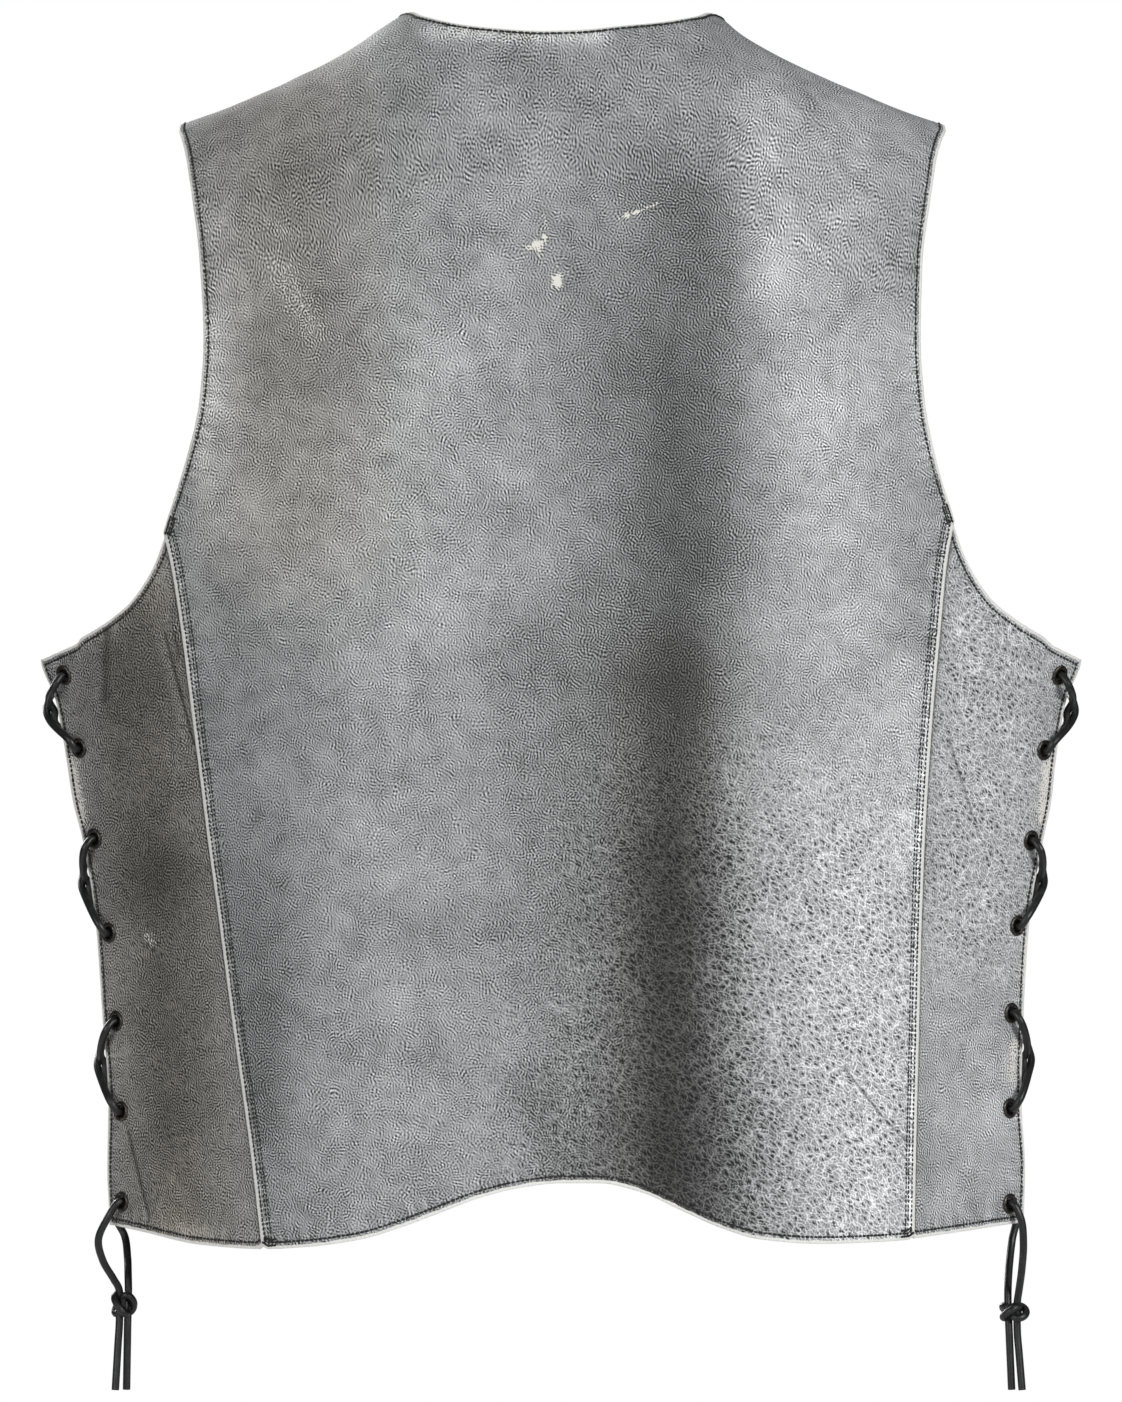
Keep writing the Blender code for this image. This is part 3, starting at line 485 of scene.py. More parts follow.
def front_grid(side, rows, columns):
    """Places of a front: columns from the lacing edge to the middle, rows from the hem to the shoulder."""
    u = columns * NECK_START if side < 0 else 1.0 - columns * NECK_START
    lap_steps = np.linspace(0.0, 1.0, LAP_COUNT + 1)
    top = back_grid(u, steps(SEAM_RUN), steps(ARMHOLE_RUN), lap_steps)[-LAP_COUNT - 1:]
    seam = top[-1]
    lacing = along_line(lacing_line(side, -1.0), np.clip(rows / FRONT_LACING_ROWS, 0.0, 1.0))
    tip = lacing_line(side, -1.0)[-1:]
    z = np.linspace(UNDERARM + TIP_MARGIN, ARMHOLE_TOP, 60)
    cut = FRONT_ARMHOLE_CUT * np.sin(np.pi * (z - UNDERARM) / (ARMHOLE_TOP - UNDERARM))
    x = side * (armhole_edge(side, z) - np.maximum(cut, 0.0))
    hole_line = np.vstack((tip, np.column_stack((x, run_at(x, z, -1.0))), seam[:1]))
    at_hole = np.clip((rows - FRONT_LACING_ROWS) / (FRONT_ROWS - FRONT_LACING_ROWS), 0.0, 1.0)
    outer = np.where((rows <= FRONT_LACING_ROWS)[:, None], lacing, along_line(hole_line, at_hole))
    edge_x = -side * 0.5 * FRONT_OVERLAP
    z = np.linspace(FRONT_HEM_CENTRE, V_NECK_DEPTH, 40)
    centre_line = np.column_stack((np.full(40, edge_x), run_at(edge_x, z, -1.0)))
    t = np.linspace(0.0, 1.0, 41)[1:-1]
    neck_x = seam[-1][0]
    z = V_NECK_DEPTH + (shoulder_height(neck_x) - SHOULDER_SEAM_FORWARD - V_NECK_DEPTH) * t
    x = edge_x + (neck_x - edge_x) * ((1.0 - V_NECK_BOW) * t + V_NECK_BOW * t * t)
    v_line = np.vstack((centre_line[-1:], np.column_stack((x, run_at(x, z, -1.0))), seam[-1:]))
    centre = along_line(centre_line, np.clip(rows / FRONT_CENTRE_ROWS, 0.0, 1.0))
    at_neck = np.clip((rows - FRONT_CENTRE_ROWS) / (FRONT_ROWS - FRONT_CENTRE_ROWS), 0.0, 1.0)
    inner = np.where((rows <= FRONT_CENTRE_ROWS)[:, None], centre, along_line(v_line, at_neck))
    corner_x = side * half_width(HEM_CORNER, side)
    x = corner_x + (edge_x - corner_x) * t
    z = HEM_CORNER + (FRONT_HEM_CENTRE - HEM_CORNER) * ease(t)
    hem_line = np.vstack((outer[:1], np.column_stack((x, run_at(x, z, -1.0))), inner[:1]))
    grid = coons(columns, along_line(hem_line, columns), seam, outer, inner)
    return np.concatenate((grid, top[-2::-1]), axis=0)


# Creases of each panel: points across and up, half width, height
CREASES = {
    "back": (
        (((152.0, -540.0), (172.0, -566.0), (189.0, -584.0)), 3.0, -0.8),
        (((-12.0, -309.6), (16.0, -303.0), (40.7, -294.8)), 3.4, 0.5),
        (((109.0, -556.6), (147.0, -578.6), (186.0, -576.0)), 4.0, 0.7),
        (((96.0, -582.0), (146.0, -598.0), (186.0, -594.0)), 4.4, 0.8),
        (((104.0, -570.0), (146.0, -588.0), (186.0, -585.0)), 3.6, -0.6),
        (((126.0, -612.0), (160.0, -620.0), (186.0, -614.0)), 4.0, 0.6),
        (((-171.0, -485.0), (-127.6, -499.0), (-78.0, -493.0)), 6.0, -0.7),
        (((-160.0, -541.0), (-110.0, -551.0), (-62.0, -540.0)), 7.0, -0.6),
        (((-26.0, -551.0), (-15.0, -596.0)), 5.0, -0.7),
        (((21.0, -567.0), (15.0, -598.0)), 4.6, -0.6),
        (((48.0, -556.0), (43.0, -600.0)), 5.0, 0.6),
        (((188.0, -138.0), (152.0, -155.0), (120.0, -158.0)), 7.0, -0.7),
        (((-186.0, -186.0), (-150.0, -196.0), (-112.0, -190.0)), 7.0, -0.8),
        (((-190.0, -300.0), (-150.0, -322.0), (-100.0, -326.0)), 8.0, -0.8),
        (((186.0, -318.0), (150.0, -340.0), (112.0, -345.0)), 7.0, -0.7),
    ),
    "side": (
        (((-215.6, -306.0), (-207.4, -337.0), (-199.6, -366.0)), 2.8, -0.9),
        (((-220.6, -312.0), (-212.4, -340.0), (-206.6, -368.0)), 3.0, 0.6),
        (((-248.6, -304.0), (-249.6, -340.0), (-246.0, -376.0)), 4.0, -0.9),
        (((-237.6, -578.6), (-232.0, -602.0), (-225.5, -625.0)), 3.2, -0.8),
        (((-232.0, -574.0), (-226.0, -600.0), (-219.0, -622.0)), 3.2, 0.5),
        (((210.6, -364.0), (219.0, -391.6), (227.0, -413.6)), 3.2, -0.8),
        (((214.0, -342.0), (230.0, -362.0), (252.0, -374.0)), 4.0, -0.6),
        (((222.0, -372.0), (238.0, -388.0), (254.0, -394.0)), 3.6, 0.5),
        (((-240.0, -452.0), (-222.0, -466.0), (-204.0, -470.0)), 5.0, -0.6),
        (((240.0, -520.0), (226.0, -534.0), (212.0, -538.0)), 5.0, -0.5),
    ),
    "front": (
        (((-230.0, -345.0), (-190.0, -360.0), (-150.0, -356.0)), 6.0, -0.9),
        (((-236.0, -420.0), (-200.0, -436.0), (-160.0, -440.0)), 6.0, -0.7),
        (((226.0, -352.0), (186.0, -372.0), (148.0, -372.0)), 6.0, -0.9),
        (((232.0, -470.0), (196.0, -482.0), (150.0, -476.0)), 7.0, -0.8),
        (((-40.0, -372.0), (-70.0, -380.0), (-104.0, -374.0)), 5.0, -0.6),
        (((46.0, -470.0), (78.0, -480.0), (110.0, -474.0)), 5.0, -0.6),
        (((-92.0, -520.0), (-84.0, -580.0)), 6.0, -0.7),
        (((104.0, -530.0), (98.0, -590.0)), 6.0, -0.7),
        (((-176.0, -180.0), (-140.0, -192.0), (-110.0, -186.0)), 6.0, -0.7),
        (((172.0, -200.0), (140.0, -212.0), (106.0, -204.0)), 6.0, -0.7),
    ),
}
RIPPLE = 0.5
RIPPLE_SIZE = 38.0

# Creases fade out towards an edge: clear distance, run of the fade
BACK_FADE = (14.0, 12.0)
SIDE_FADE = (6.0, 10.0)

# Rounding of an edge on the grain side and on the flesh side, its width, sunk stitch row, its width
ROUNDED = 0.45
ROUNDED_INSIDE = 0.3
ROUNDED_WIDTH = 0.45
ROW_SUNK = 0.3
ROW_WIDTH = 0.9

# Stitch rows: distance in from the edge
EDGE_ROW = 3.6
SEAM_ROWS_IN = (2.8, 5.6, 7.4)

# Worn rims: width on an edge and on a seam, and how much paler a seam's base is
EDGE_WEAR = 1.8
SEAM_WEAR = 2.6
SEAM_BASE_PALE = 0.5


def line_distance(x, z, line):
    """Distance in the (x, z) plane from a broken line."""
    best = np.full(np.shape(x), 1e9)
    for (ax, az), (bx, bz) in zip(line[:-1], line[1:]):
        dx = bx - ax
        dz = bz - az
        t = np.clip(((x - ax) * dx + (z - az) * dz) / (dx * dx + dz * dz), 0.0, 1.0)
        best = np.minimum(best, np.hypot(x - ax - t * dx, z - az - t * dz))
    return best


def strokes(table, kind, x, z):
    """Sum of a panel's strokes from a table, each soft across its line."""
    total = np.zeros(np.shape(x))
    for line, spread, strength in table[kind]:
        total = total + strength * np.exp(-(line_distance(x, z, line) / spread) ** 2)
    return total


def ripple_height(points):
    """Slow unevenness of hide."""
    flat = points.reshape(-1, 3) / RIPPLE_SIZE
    values = [noise.noise(Vector(row)) for row in flat]
    return RIPPLE * np.array(values).reshape(points.shape[:2])


def dense(line, pitch=0.5):
    """A line of points with close, even steps."""
    length = np.linalg.norm(np.diff(line, axis=0), axis=1).sum()
    return along_line(line, np.linspace(0.0, 1.0, max(int(length / pitch), 2)))


def nearest(lines, points):
    """Each point's distance from some lines of points, and the length along them up to the nearest point."""
    samples = np.vstack(lines)
    tree = KDTree(len(samples))
    for k, row in enumerate(samples):
        tree.insert(row, k)
    tree.balance()
    found = [tree.find(row) for row in points]
    run = run_along(samples)
    return np.array([row[2] for row in found]), np.array([run[row[1]] for row in found])


def grid_faces(rows, columns, flip):
    """Quads of the grain side, the flesh side and the raw edges of a panel."""
    count = rows * columns
    index = np.arange(count).reshape(rows, columns)
    a = index[:-1, :-1].ravel()
    b = index[:-1, 1:].ravel()
    c = index[1:, 1:].ravel()
    d = index[1:, :-1].ravel()
    outer = np.column_stack((a, b, c, d))
    inner = np.column_stack((d, c, b, a)) + count
    rim = np.concatenate((index[0], index[1:, -1], index[-1, -2::-1], index[-2:0:-1, 0]))
    after = np.roll(rim, -1)
    edge = np.column_stack((after, rim, rim + count, after + count))
    if flip:
        outer = outer[:, ::-1]
        inner = inner[:, ::-1]
        edge = edge[:, ::-1]
    return outer, edge, inner


def add_mesh(name, points, faces, looks=()):
    """New object from points in millimetres."""
    mesh = bpy.data.meshes.new(name)
    corners = [tuple(row) for row in np.asarray(points, float) * MM]
    mesh.from_pydata(corners, [], [tuple(map(int, face)) for face in faces])
    mesh.update()
    for look in looks:
        mesh.materials.append(look)
    made = bpy.data.objects.new(name, mesh)
    bpy.context.scene.collection.objects.link(made)
    return made


def smooth(piece):
    piece.data.polygons.foreach_set("use_smooth", [True] * len(piece.data.polygons))


def bake_modifiers(piece):
    """Turns a piece and its modifiers into a plain mesh."""
    graph = bpy.context.evaluated_depsgraph_get()
    made = bpy.data.meshes.new_from_object(piece.evaluated_get(graph))
    old = piece.data
    piece.modifiers.clear()
    piece.data = made
    bpy.data.meshes.remove(old)
    made.name = piece.name


def build_panel(kind, name, grid, offset, edges, flip, looks):
    """Leather panel from its places: the shell with rounded edges, creases and sunk stitch rows."""
    x = grid[..., 0]
    p = grid[..., 1]
    normal = form_normal(x, p)
    flat = form(x, p) + normal * offset[..., None]
    rows, columns = x.shape
    rim = [dense(line) for line in edges(flat).values()]
    edge = nearest(rim, flat.reshape(-1, 3))[0].reshape(rows, columns)
    clear = edge
    if kind != "back":
        sides = [dense(line) for line in (flat[:, 0], flat[0], flat[-1], flat[:, -1])]
        clear = nearest(sides, flat.reshape(-1, 3))[0].reshape(rows, columns)
    start, run = BACK_FADE if kind == "back" else SIDE_FADE
    move = strokes(CREASES, kind, x, flat[..., 2]) * ease((clear - start) / run)
    start, run = BACK_FADE
    move = move + ripple_height(flat) * ease((clear - start) / run)
    rounding = np.exp(-(edge / ROUNDED_WIDTH) ** 2)
    sunk = ROW_SUNK * np.exp(-((edge - EDGE_ROW) / ROW_WIDTH) ** 2)
    outer = flat + normal * (move - ROUNDED * rounding - sunk)[..., None]
    inner = flat + normal * (move - WALL + ROUNDED_INSIDE * rounding)[..., None]
    points = np.vstack((outer.reshape(-1, 3), inner.reshape(-1, 3)))
    grain, raw, flesh = grid_faces(rows, columns, flip)
    made = add_mesh(name, points, np.vstack((grain, raw, flesh)), looks)
    index = np.concatenate((np.zeros(len(grain) + len(raw), int), np.ones(len(flesh), int)))
    made.data.polygons.foreach_set("material_index", index.astype("int32"))
    smooth(made)
    tree = BVHTree.FromPolygons(
        [tuple(row) for row in outer.reshape(-1, 3)], [tuple(map(int, face)) for face in grain],
    )
    rim += [dense(line) for line in edges(inner).values()]
    return {
        "kind": kind, "piece": made, "tree": tree, "rim": rim, "lines": edges(outer),
        "normals": edges(normal), "inward": inward_hints(outer, edges),
    }


HINT_STEPS = 12


def inward_hints(outer, edges):
    """For each edge line, the line of points a little way in from it."""
    inner = {}
    rows, columns = outer.shape[:2]
    index = np.stack(np.meshgrid(np.arange(rows), np.arange(columns), indexing="ij"), axis=-1)
    for name, line in edges(index).items():
        r = np.clip(line[:, 0], HINT_STEPS, rows - 1 - HINT_STEPS)
        c = np.clip(line[:, 1], HINT_STEPS, columns - 1 - HINT_STEPS)
        inner[name] = outer[r, c]
    return inner


def back_edges(grid):
    return {
        "hem": grid[0], "seam_left": grid[:SEAM_COUNT, 0], "seam_right": grid[:SEAM_COUNT, -1],
        "armhole_left": grid[SEAM_COUNT - 1:, 0], "armhole_right": grid[SEAM_COUNT - 1:, -1],
        "neck": grid[-1, NECK_FIRST:NECK_LAST + 1],
        "shoulder_left": grid[-1, :NECK_FIRST + 1], "shoulder_right": grid[-1, NECK_LAST:],
    }


def side_edges(grid):
    return {"hem": grid[0, LAP_COUNT:], "lacing": grid[:, -1], "armhole": grid[-1, LAP_COUNT:]}


def front_edges(grid):
    return {
        "hem": grid[0], "lacing": grid[:FRONT_TIP + 1, 0], "armhole": grid[FRONT_TIP:FRONT_TOP + 1, 0],
        "centre": grid[:FRONT_V + 1, -1], "neck": grid[FRONT_V:FRONT_TOP + 1, -1],
    }


class Value:
    """A number that changes over a surface, so that shader maths reads as plain expressions."""

    def __init__(self, look, socket):
        self.look = look
        self.socket = socket

    def work(self, operation, *terms):
        return self.look.node("ShaderNodeMath", {"operation": operation}, dict(enumerate(terms)))

    def __add__(self, other):
        return self.work("ADD", self, other)

    def __radd__(self, other):
        return self.work("ADD", other, self)

    def __sub__(self, other):
        return self.work("SUBTRACT", self, other)

    def __rsub__(self, other):
        return self.work("SUBTRACT", other, self)

    def __mul__(self, other):
        return self.work("MULTIPLY", self, other)

    def __rmul__(self, other):
        return self.work("MULTIPLY", other, self)

    def __truediv__(self, other):
        return self.work("DIVIDE", self, other)

    def __pow__(self, other):
        return self.work("POWER", self, other)

    def held(self):
        """The number, held between 0 and 1."""
        return self.look.node("ShaderNodeClamp", {}, {"Value": self})

    def rise(self, low, high):
        """0 below low, 1 above high and smooth between."""
        return self.look.node(
            "ShaderNodeMapRange", {"interpolation_type": "SMOOTHSTEP"},
            {"Value": self, "From Min": low, "From Max": high},
        )


class Finish:
    """A material and the nodes that make it."""

    def __init__(self, name):
        self.material = bpy.data.materials.new(name)
        self.material.use_nodes = True
        self.tree = self.material.node_tree
        self.shader = self.tree.nodes["Principled BSDF"]

    def feed(self, slot, value):
        """Links a changing value to a socket, or sets a fixed one on it."""
        if isinstance(value, Value):
            self.tree.links.new(value.socket, slot)
        else:
            slot.default_value = value

    def surface(self, inputs):
        """Feeds the shader's own sockets."""
        for name, value in inputs.items():
            self.feed(self.shader.inputs[name], value)

    def node(self, kind, settings=None, sockets=None, out=0):
        """Adds any node: its type, its settings, and the values or links of its sockets."""
        made = self.tree.nodes.new(kind)
        for key, value in (settings or {}).items():
            setattr(made, key, value)
        for key, value in (sockets or {}).items():
            self.feed(made.inputs[key], value)
        return Value(self, made.outputs[out])

    def place(self):
        return self.node("ShaderNodeTexCoord", {}, {}, "Object")

    def attribute(self, name):
        return self.node("ShaderNodeAttribute", {"attribute_name": name}, {}, "Fac")

    def noise(self, place, scale, detail=2.0, rough=0.5, bend=0.0, out="Fac"):
        sockets = {"Vector": place, "Scale": scale, "Detail": detail, "Roughness": rough, "Distortion": bend}
        return self.node("ShaderNodeTexNoise", {}, sockets, out)

    def cells(self, place, scale):
        """Distance from the nearest border between cells."""
        settings = {"feature": "DISTANCE_TO_EDGE"}
        return self.node("ShaderNodeTexVoronoi", settings, {"Vector": place, "Scale": scale})

    def pits(self, place, scale):
        """Distance from the middle of the nearest cell."""
        return self.node("ShaderNodeTexVoronoi", {"feature": "F1"}, {"Vector": place, "Scale": scale})

    def waves(self, place, per_metre, order, turn):
        """Wandering ridges at an even distance: about -1 to 1, more in line with the turn as order rises."""
        sockets = {0: place, 1: per_metre / WAVES_A_PATCH, 2: WAVES_A_PATCH, 3: order, 4: turn}
        made = self.node("ShaderNodeTexGabor", {"gabor_type": "2D"}, sockets)
        return WAVE_GAIN * (made - 0.5)

    def sway(self, place, scale, amount):
        """The place, moved about by slow noise."""
        drift = self.noise(place, scale, 2.0, 0.5, 0.0, "Color")
        return self.node(
            "ShaderNodeVectorMath", {"operation": "MULTIPLY_ADD"}, {0: drift, 1: (amount,) * 3, 2: place},
        )

    def mix(self, share, first, second):
        sockets = {0: share, 6: first, 7: second}
        return self.node("ShaderNodeMix", {"data_type": "RGBA"}, sockets, 2)

    def scale(self, colour, amount):
        return self.node("ShaderNodeVectorMath", {"operation": "SCALE"}, {0: colour, "Scale": amount})

    def stroke(self, x, z, start, end, spread):
        """1 along a short line across and up, down to 0 at the spread."""
        run_x = end[0] - start[0]
        run_z = end[1] - start[1]
        size = run_x ** 2 + run_z ** 2
        share = ((x - start[0]) * (run_x / size) + (z - start[1]) * (run_z / size)).held()
        off_x = x - start[0] - share * run_x
        off_z = z - start[1] - share * run_z
        return 1.0 - ((off_x * off_x + off_z * off_z) ** 0.5).rise(0.0, spread)

    def bump(self, height, strength, distance):
        sockets = {"Height": height, "Strength": strength, "Distance": distance}
        self.surface({"Normal": self.node("ShaderNodeBump", {}, sockets)})


# Ridges: waves across one patch, and the gain that brings them to about -1 to 1
WAVES_A_PATCH = 2.4
WAVE_GAIN = 5.0

# Colours of the leather: hue of the cool and of the warm grain, raw edge, scraped spot, painted shade in the
# thread groove
GRAIN_COOL = (0.985, 1.0, 1.01, 1.0)
GRAIN_WARM = (1.075, 1.0, 0.87, 1.0)
RAW_EDGE = (0.88, 0.87, 0.83, 1.0)
SCRAPED = (0.84, 0.82, 0.76, 1.0)
GROOVE_SHADE_COLOUR = (0.02, 0.02, 0.02, 1.0)
GREY = 0.3
DARKEST = 0.025

# Grain: fine ridges a metre and their turn, pebbles a metre, their turn and how far they are drawn out
RIDGES = 600.0
RIDGE_TURN = 0.5
PEBBLES = 350.0
PEBBLE_TURN = -0.6
PEBBLE_DRAWN = (1.8, 0.84, 1.0)
FOLDS_A_METRE = 95.0

# Sewn edges: distance between puckers, reach of the puckers and of the streaks, shadow beside the seam
PUCKER_PITCH = 2.5
PUCKER_REACH = (2.0, 8.0)
STREAK_REACH = (2.0, 17.0)
LAP_SHADOW = 0.6
LAP_REACH = (2.5, 3.9)

# Scrapes on the back: start and end across and up, spread, strength
SCRAPES = (
    ((-10.0, -82.0), (-8.0, -89.0), 3.0, 0.75), ((-17.5, -99.5), (-10.0, -96.5), 5.5, 0.95),
    ((-14.0, -97.0), (-12.0, -103.0), 3.5, 0.7), ((-9.6, -93.0), (-9.0, -93.6), 2.4, 1.0),
    ((-4.6, -108.0), (-3.0, -108.4), 2.6, 0.7), ((-6.0, -114.5), (0.5, -119.5), 3.0, 0.85),
    ((-5.0, -119.5), (0.0, -114.0), 3.0, 0.85), ((-2.5, -113.0), (-2.2, -121.0), 2.8, 0.8),
    ((31.0, -83.5), (40.0, -80.0), 2.2, 0.8), ((39.0, -80.5), (51.0, -75.6), 2.2, 0.95),
    ((34.0, -80.0), (37.0, -86.0), 2.0, 0.7),
)

# Painted shade in sharp creases: start and end across and up, spread, strength
BACK_CREASE_SHADE = (
    ((152.0, -540.0), (172.0, -566.0), 1.2, 0.62), ((172.0, -566.0), (189.0, -584.0), 1.1, 0.5),
)
SIDE_CREASE_SHADE = (
    ((-215.6, -306.0), (-207.4, -337.0), 1.7, 0.7), ((-207.4, -337.0), (-199.6, -366.0), 1.5, 0.75),
    ((-211.0, -300.0), (-208.0, -318.0), 1.4, 0.5), ((-248.0, -300.0), (-249.6, -342.0), 4.0, 0.5),
    ((-237.6, -578.6), (-225.5, -625.0), 1.8, 0.6), ((210.6, -364.0), (219.0, -391.6), 1.6, 0.5),
    ((219.0, -391.6), (227.0, -413.6), 1.4, 0.4),
)


def grain_relief(look, flat):
    """Height of the grain, its fine ridges alone, and the share of coarse grain."""
    swayed = look.sway(flat, 60.0, 0.005)
    patch = look.noise(flat, 45.0, 3.0, 0.6)
    fine = look.waves(swayed, RIDGES, 0.45 * patch.rise(0.35, 0.65), RIDGE_TURN)
    bent = look.sway(swayed, 240.0, 0.0022)
    drawn = look.node(
        "ShaderNodeMapping", {"vector_type": "TEXTURE"},
        {"Vector": bent, "Rotation": (0.0, 0.0, PEBBLE_TURN), "Scale": PEBBLE_DRAWN},
    )
    pit = 1.0 - look.pits(drawn, PEBBLES).rise(0.1, 0.34)
    net = 1.0 - look.cells(drawn, PEBBLES).rise(0.0, 0.12)
    net = net * look.noise(flat, 200.0, 2.0, 0.6).rise(0.15, 0.45)
    folded = look.sway(look.sway(flat, 50.0, 0.02), 200.0, 0.004)
    fold = 1.0 - look.cells(folded, FOLDS_A_METRE).rise(0.0, 0.07)
    fold = fold * look.noise(flat, 60.0, 2.0, 0.5).rise(0.42, 0.6)
    pebble = 0.5 * fine + 1.2 * net - 1.25 * pit + 0.7 * fold - 0.08
    share = (look.attribute("coarse") + 0.9 * (patch - 0.5)).held()
    return fine + (pebble - fine) * share, fine, share


def grain_leather(name, scrapes=(), crease_shade=()):
    """Rubbed grey grain side: wandering ridges, pits in a pale net where it is coarse, worn pale edges."""
    look = Finish(name)
    place = look.place()
    edge = look.attribute("edge")
    along = look.attribute("along")
    scuff = look.attribute("scuff")
    apart = look.node("ShaderNodeSeparateXYZ", {}, {0: place})
    across = apart / MM
    up = Value(look, apart.socket.node.outputs["Z"]) / MM
    for start, end, spread, strength in scrapes:
        scuff = scuff + strength * look.stroke(across, up, start, end, spread)
    flat = look.node("ShaderNodeCombineXYZ", {}, {"X": look.attribute("girth"), "Y": look.attribute("level")})
    relief, fine, share = grain_relief(look, flat)
    rub = look.noise(place, 24.0, 5.0, 0.62)
    smear = look.noise(look.sway(place, 30.0, 0.02), 95.0, 5.0, 0.72)
    streak_place = look.node("ShaderNodeCombineXYZ", {}, {"X": 0.62 * along, "Y": 0.05 * edge})
    streak = (look.noise(streak_place, 1.0, 3.0, 0.6) - 0.5) * (1.0 - edge.rise(*STREAK_REACH))
    # Painted light and shade of the folds, together with the leather's own tone
    tone = look.attribute("tone")
    depth_of_grain = 0.92 + 1.5 * (1.0 - tone).held()
    cloud = (1.1 * (rub - 0.5) + 1.25 * (smear - 0.5)) * (1.0 - 0.75 * share)
    light = GREY * (1.0 + depth_of_grain * relief + cloud + 2.8 * streak)
    light = light.work("MAXIMUM", light, DARKEST) * tone
    light = light * (1.0 - LAP_SHADOW * (1.0 - look.attribute("lap").rise(*LAP_REACH)))
    # Painted shade along the sharp creases darkens the light here
    for start, end, spread, strength in crease_shade:
        light = light * (1.0 - strength * look.stroke(across, up, start, end, spread))
    colour = look.scale(look.mix(look.attribute("brown"), GRAIN_COOL, GRAIN_WARM), light)
    mark = (0.36 * scuff + look.noise(flat, 480.0, 4.0, 0.8) + 0.12 * fine).rise(0.74, 0.9)
    colour = look.mix(mark * scuff.rise(0.02, 0.15), colour, SCRAPED)
    ragged = 1.1 * (look.noise(place, 130.0, 4.0, 0.65) - 0.5)
    worn = 1.0 - (look.attribute("rim") + ragged).rise(0.75, 1.1)
    colour = look.mix((0.95 - 0.5 * streak) * worn, colour, RAW_EDGE)
    # Painted shade in the sunk stitch rows
    colour = look.mix((0.07 * look.attribute("groove")).held(), colour, GROOVE_SHADE_COLOUR)
    look.surface({"Base Color": colour, "Roughness": 0.6 - 0.1 * relief, "Specular IOR Level": 0.42})
    pucker = along.work("SINE", along * (2.0 * math.pi / PUCKER_PITCH))
    pucker = pucker * (1.0 - edge.rise(*PUCKER_REACH))
    look.bump(look.noise(flat, 420.0, 1.0, 0.5) + 0.22 * pucker + 1.2 * streak, 0.6, 0.0005)
    return look.material


# Hues and colours of the other finishes
FLESH_HUE = (1.08, 1.0, 0.92)
LACE_HUE = (0.95, 1.0, 1.06)
LACE_RIBS = 3.0
METAL_DARK = (0.06, 0.055, 0.05, 1.0)
METAL_RUBBED = (0.34, 0.3, 0.24, 1.0)
NEUTRAL = (1.0, 1.0, 1.0)


def flesh_leather(name):
    """Suede-like flesh side of the hide."""
    look = Finish(name)
    place = look.place()
    fibre = look.noise(look.sway(place, 90.0, 0.008), 420.0, 4.0, 0.7, 0.8)
    cloud = look.noise(place, 16.0, 4.0, 0.6)
    light = 0.13 + 0.1 * (cloud - 0.5) + 0.14 * (fibre - 0.5)
    look.surface({
        "Base Color": look.scale(FLESH_HUE, light), "Roughness": 0.86 + 0.1 * (fibre - 0.5),
        "Specular IOR Level": 0.2, "Sheen Weight": 0.15,
    })
    look.bump(fibre, 0.4, 0.0005)
    return look.material


def lace_finish(name):
    """Black satin lace leather with lengthwise sheen."""
    look = Finish(name)
    place = look.place()
    rib = look.attribute("around")
    fleck = look.noise(place, 700.0, 3.0, 0.6)
    scrape = look.noise(place, 160.0, 3.0, 0.6)
    light = 0.006 + 0.013 * scrape.rise(0.5, 0.75) + 0.009 * (fleck - 0.4)
    rough = 0.34 + 0.22 * (fleck - 0.5) + 0.14 * scrape
    look.surface({"Base Color": look.scale(LACE_HUE, light), "Roughness": rough, "Specular IOR Level": 0.55})
    line = rib.work("SINE", rib * LACE_RIBS)
    look.bump(0.5 * fleck + 0.3 * line, 0.35, 0.0005)
    return look.material


def dark_metal(name):
    """Dark antique brass with rubbed spots."""
    look = Finish(name)
    place = look.place()
    cloud = look.noise(place, 380.0, 4.0, 0.65)
    rubbed = look.noise(place, 900.0, 3.0, 0.6).rise(0.5, 0.72)
    colour = look.mix(0.6 * rubbed, METAL_DARK, METAL_RUBBED)
    look.surface({"Base Color": colour, "Metallic": 1.0, "Roughness": 0.26 + 0.3 * cloud})
    look.bump(cloud, 0.2, 0.0002)
    return look.material


def thread_finish(name):
    """Black waxed thread with a fine twist."""
    look = Finish(name)
    place = look.place()
    twist = look.noise(place, 2600.0, 2.0, 0.6)
    dust = look.noise(place, 130.0, 3.0, 0.6).rise(0.55, 0.75)
    light = 0.008 + 0.014 * twist + 0.02 * dust
    look.surface({"Base Color": look.scale(NEUTRAL, light), "Roughness": 0.6 + 0.2 * twist})
    look.bump(twist, 0.3, 0.0002)
    return look.material


leather_back = grain_leather("leather_back", SCRAPES, BACK_CREASE_SHADE)
leather_sides = grain_leather("leather_sides", (), SIDE_CREASE_SHADE)
leather_fronts = grain_leather("leather_fronts")
flesh = flesh_leather("leather_flesh")
lace_leather = lace_finish("lace_leather")
metal = dark_metal("dark_metal")
thread = thread_finish("thread")


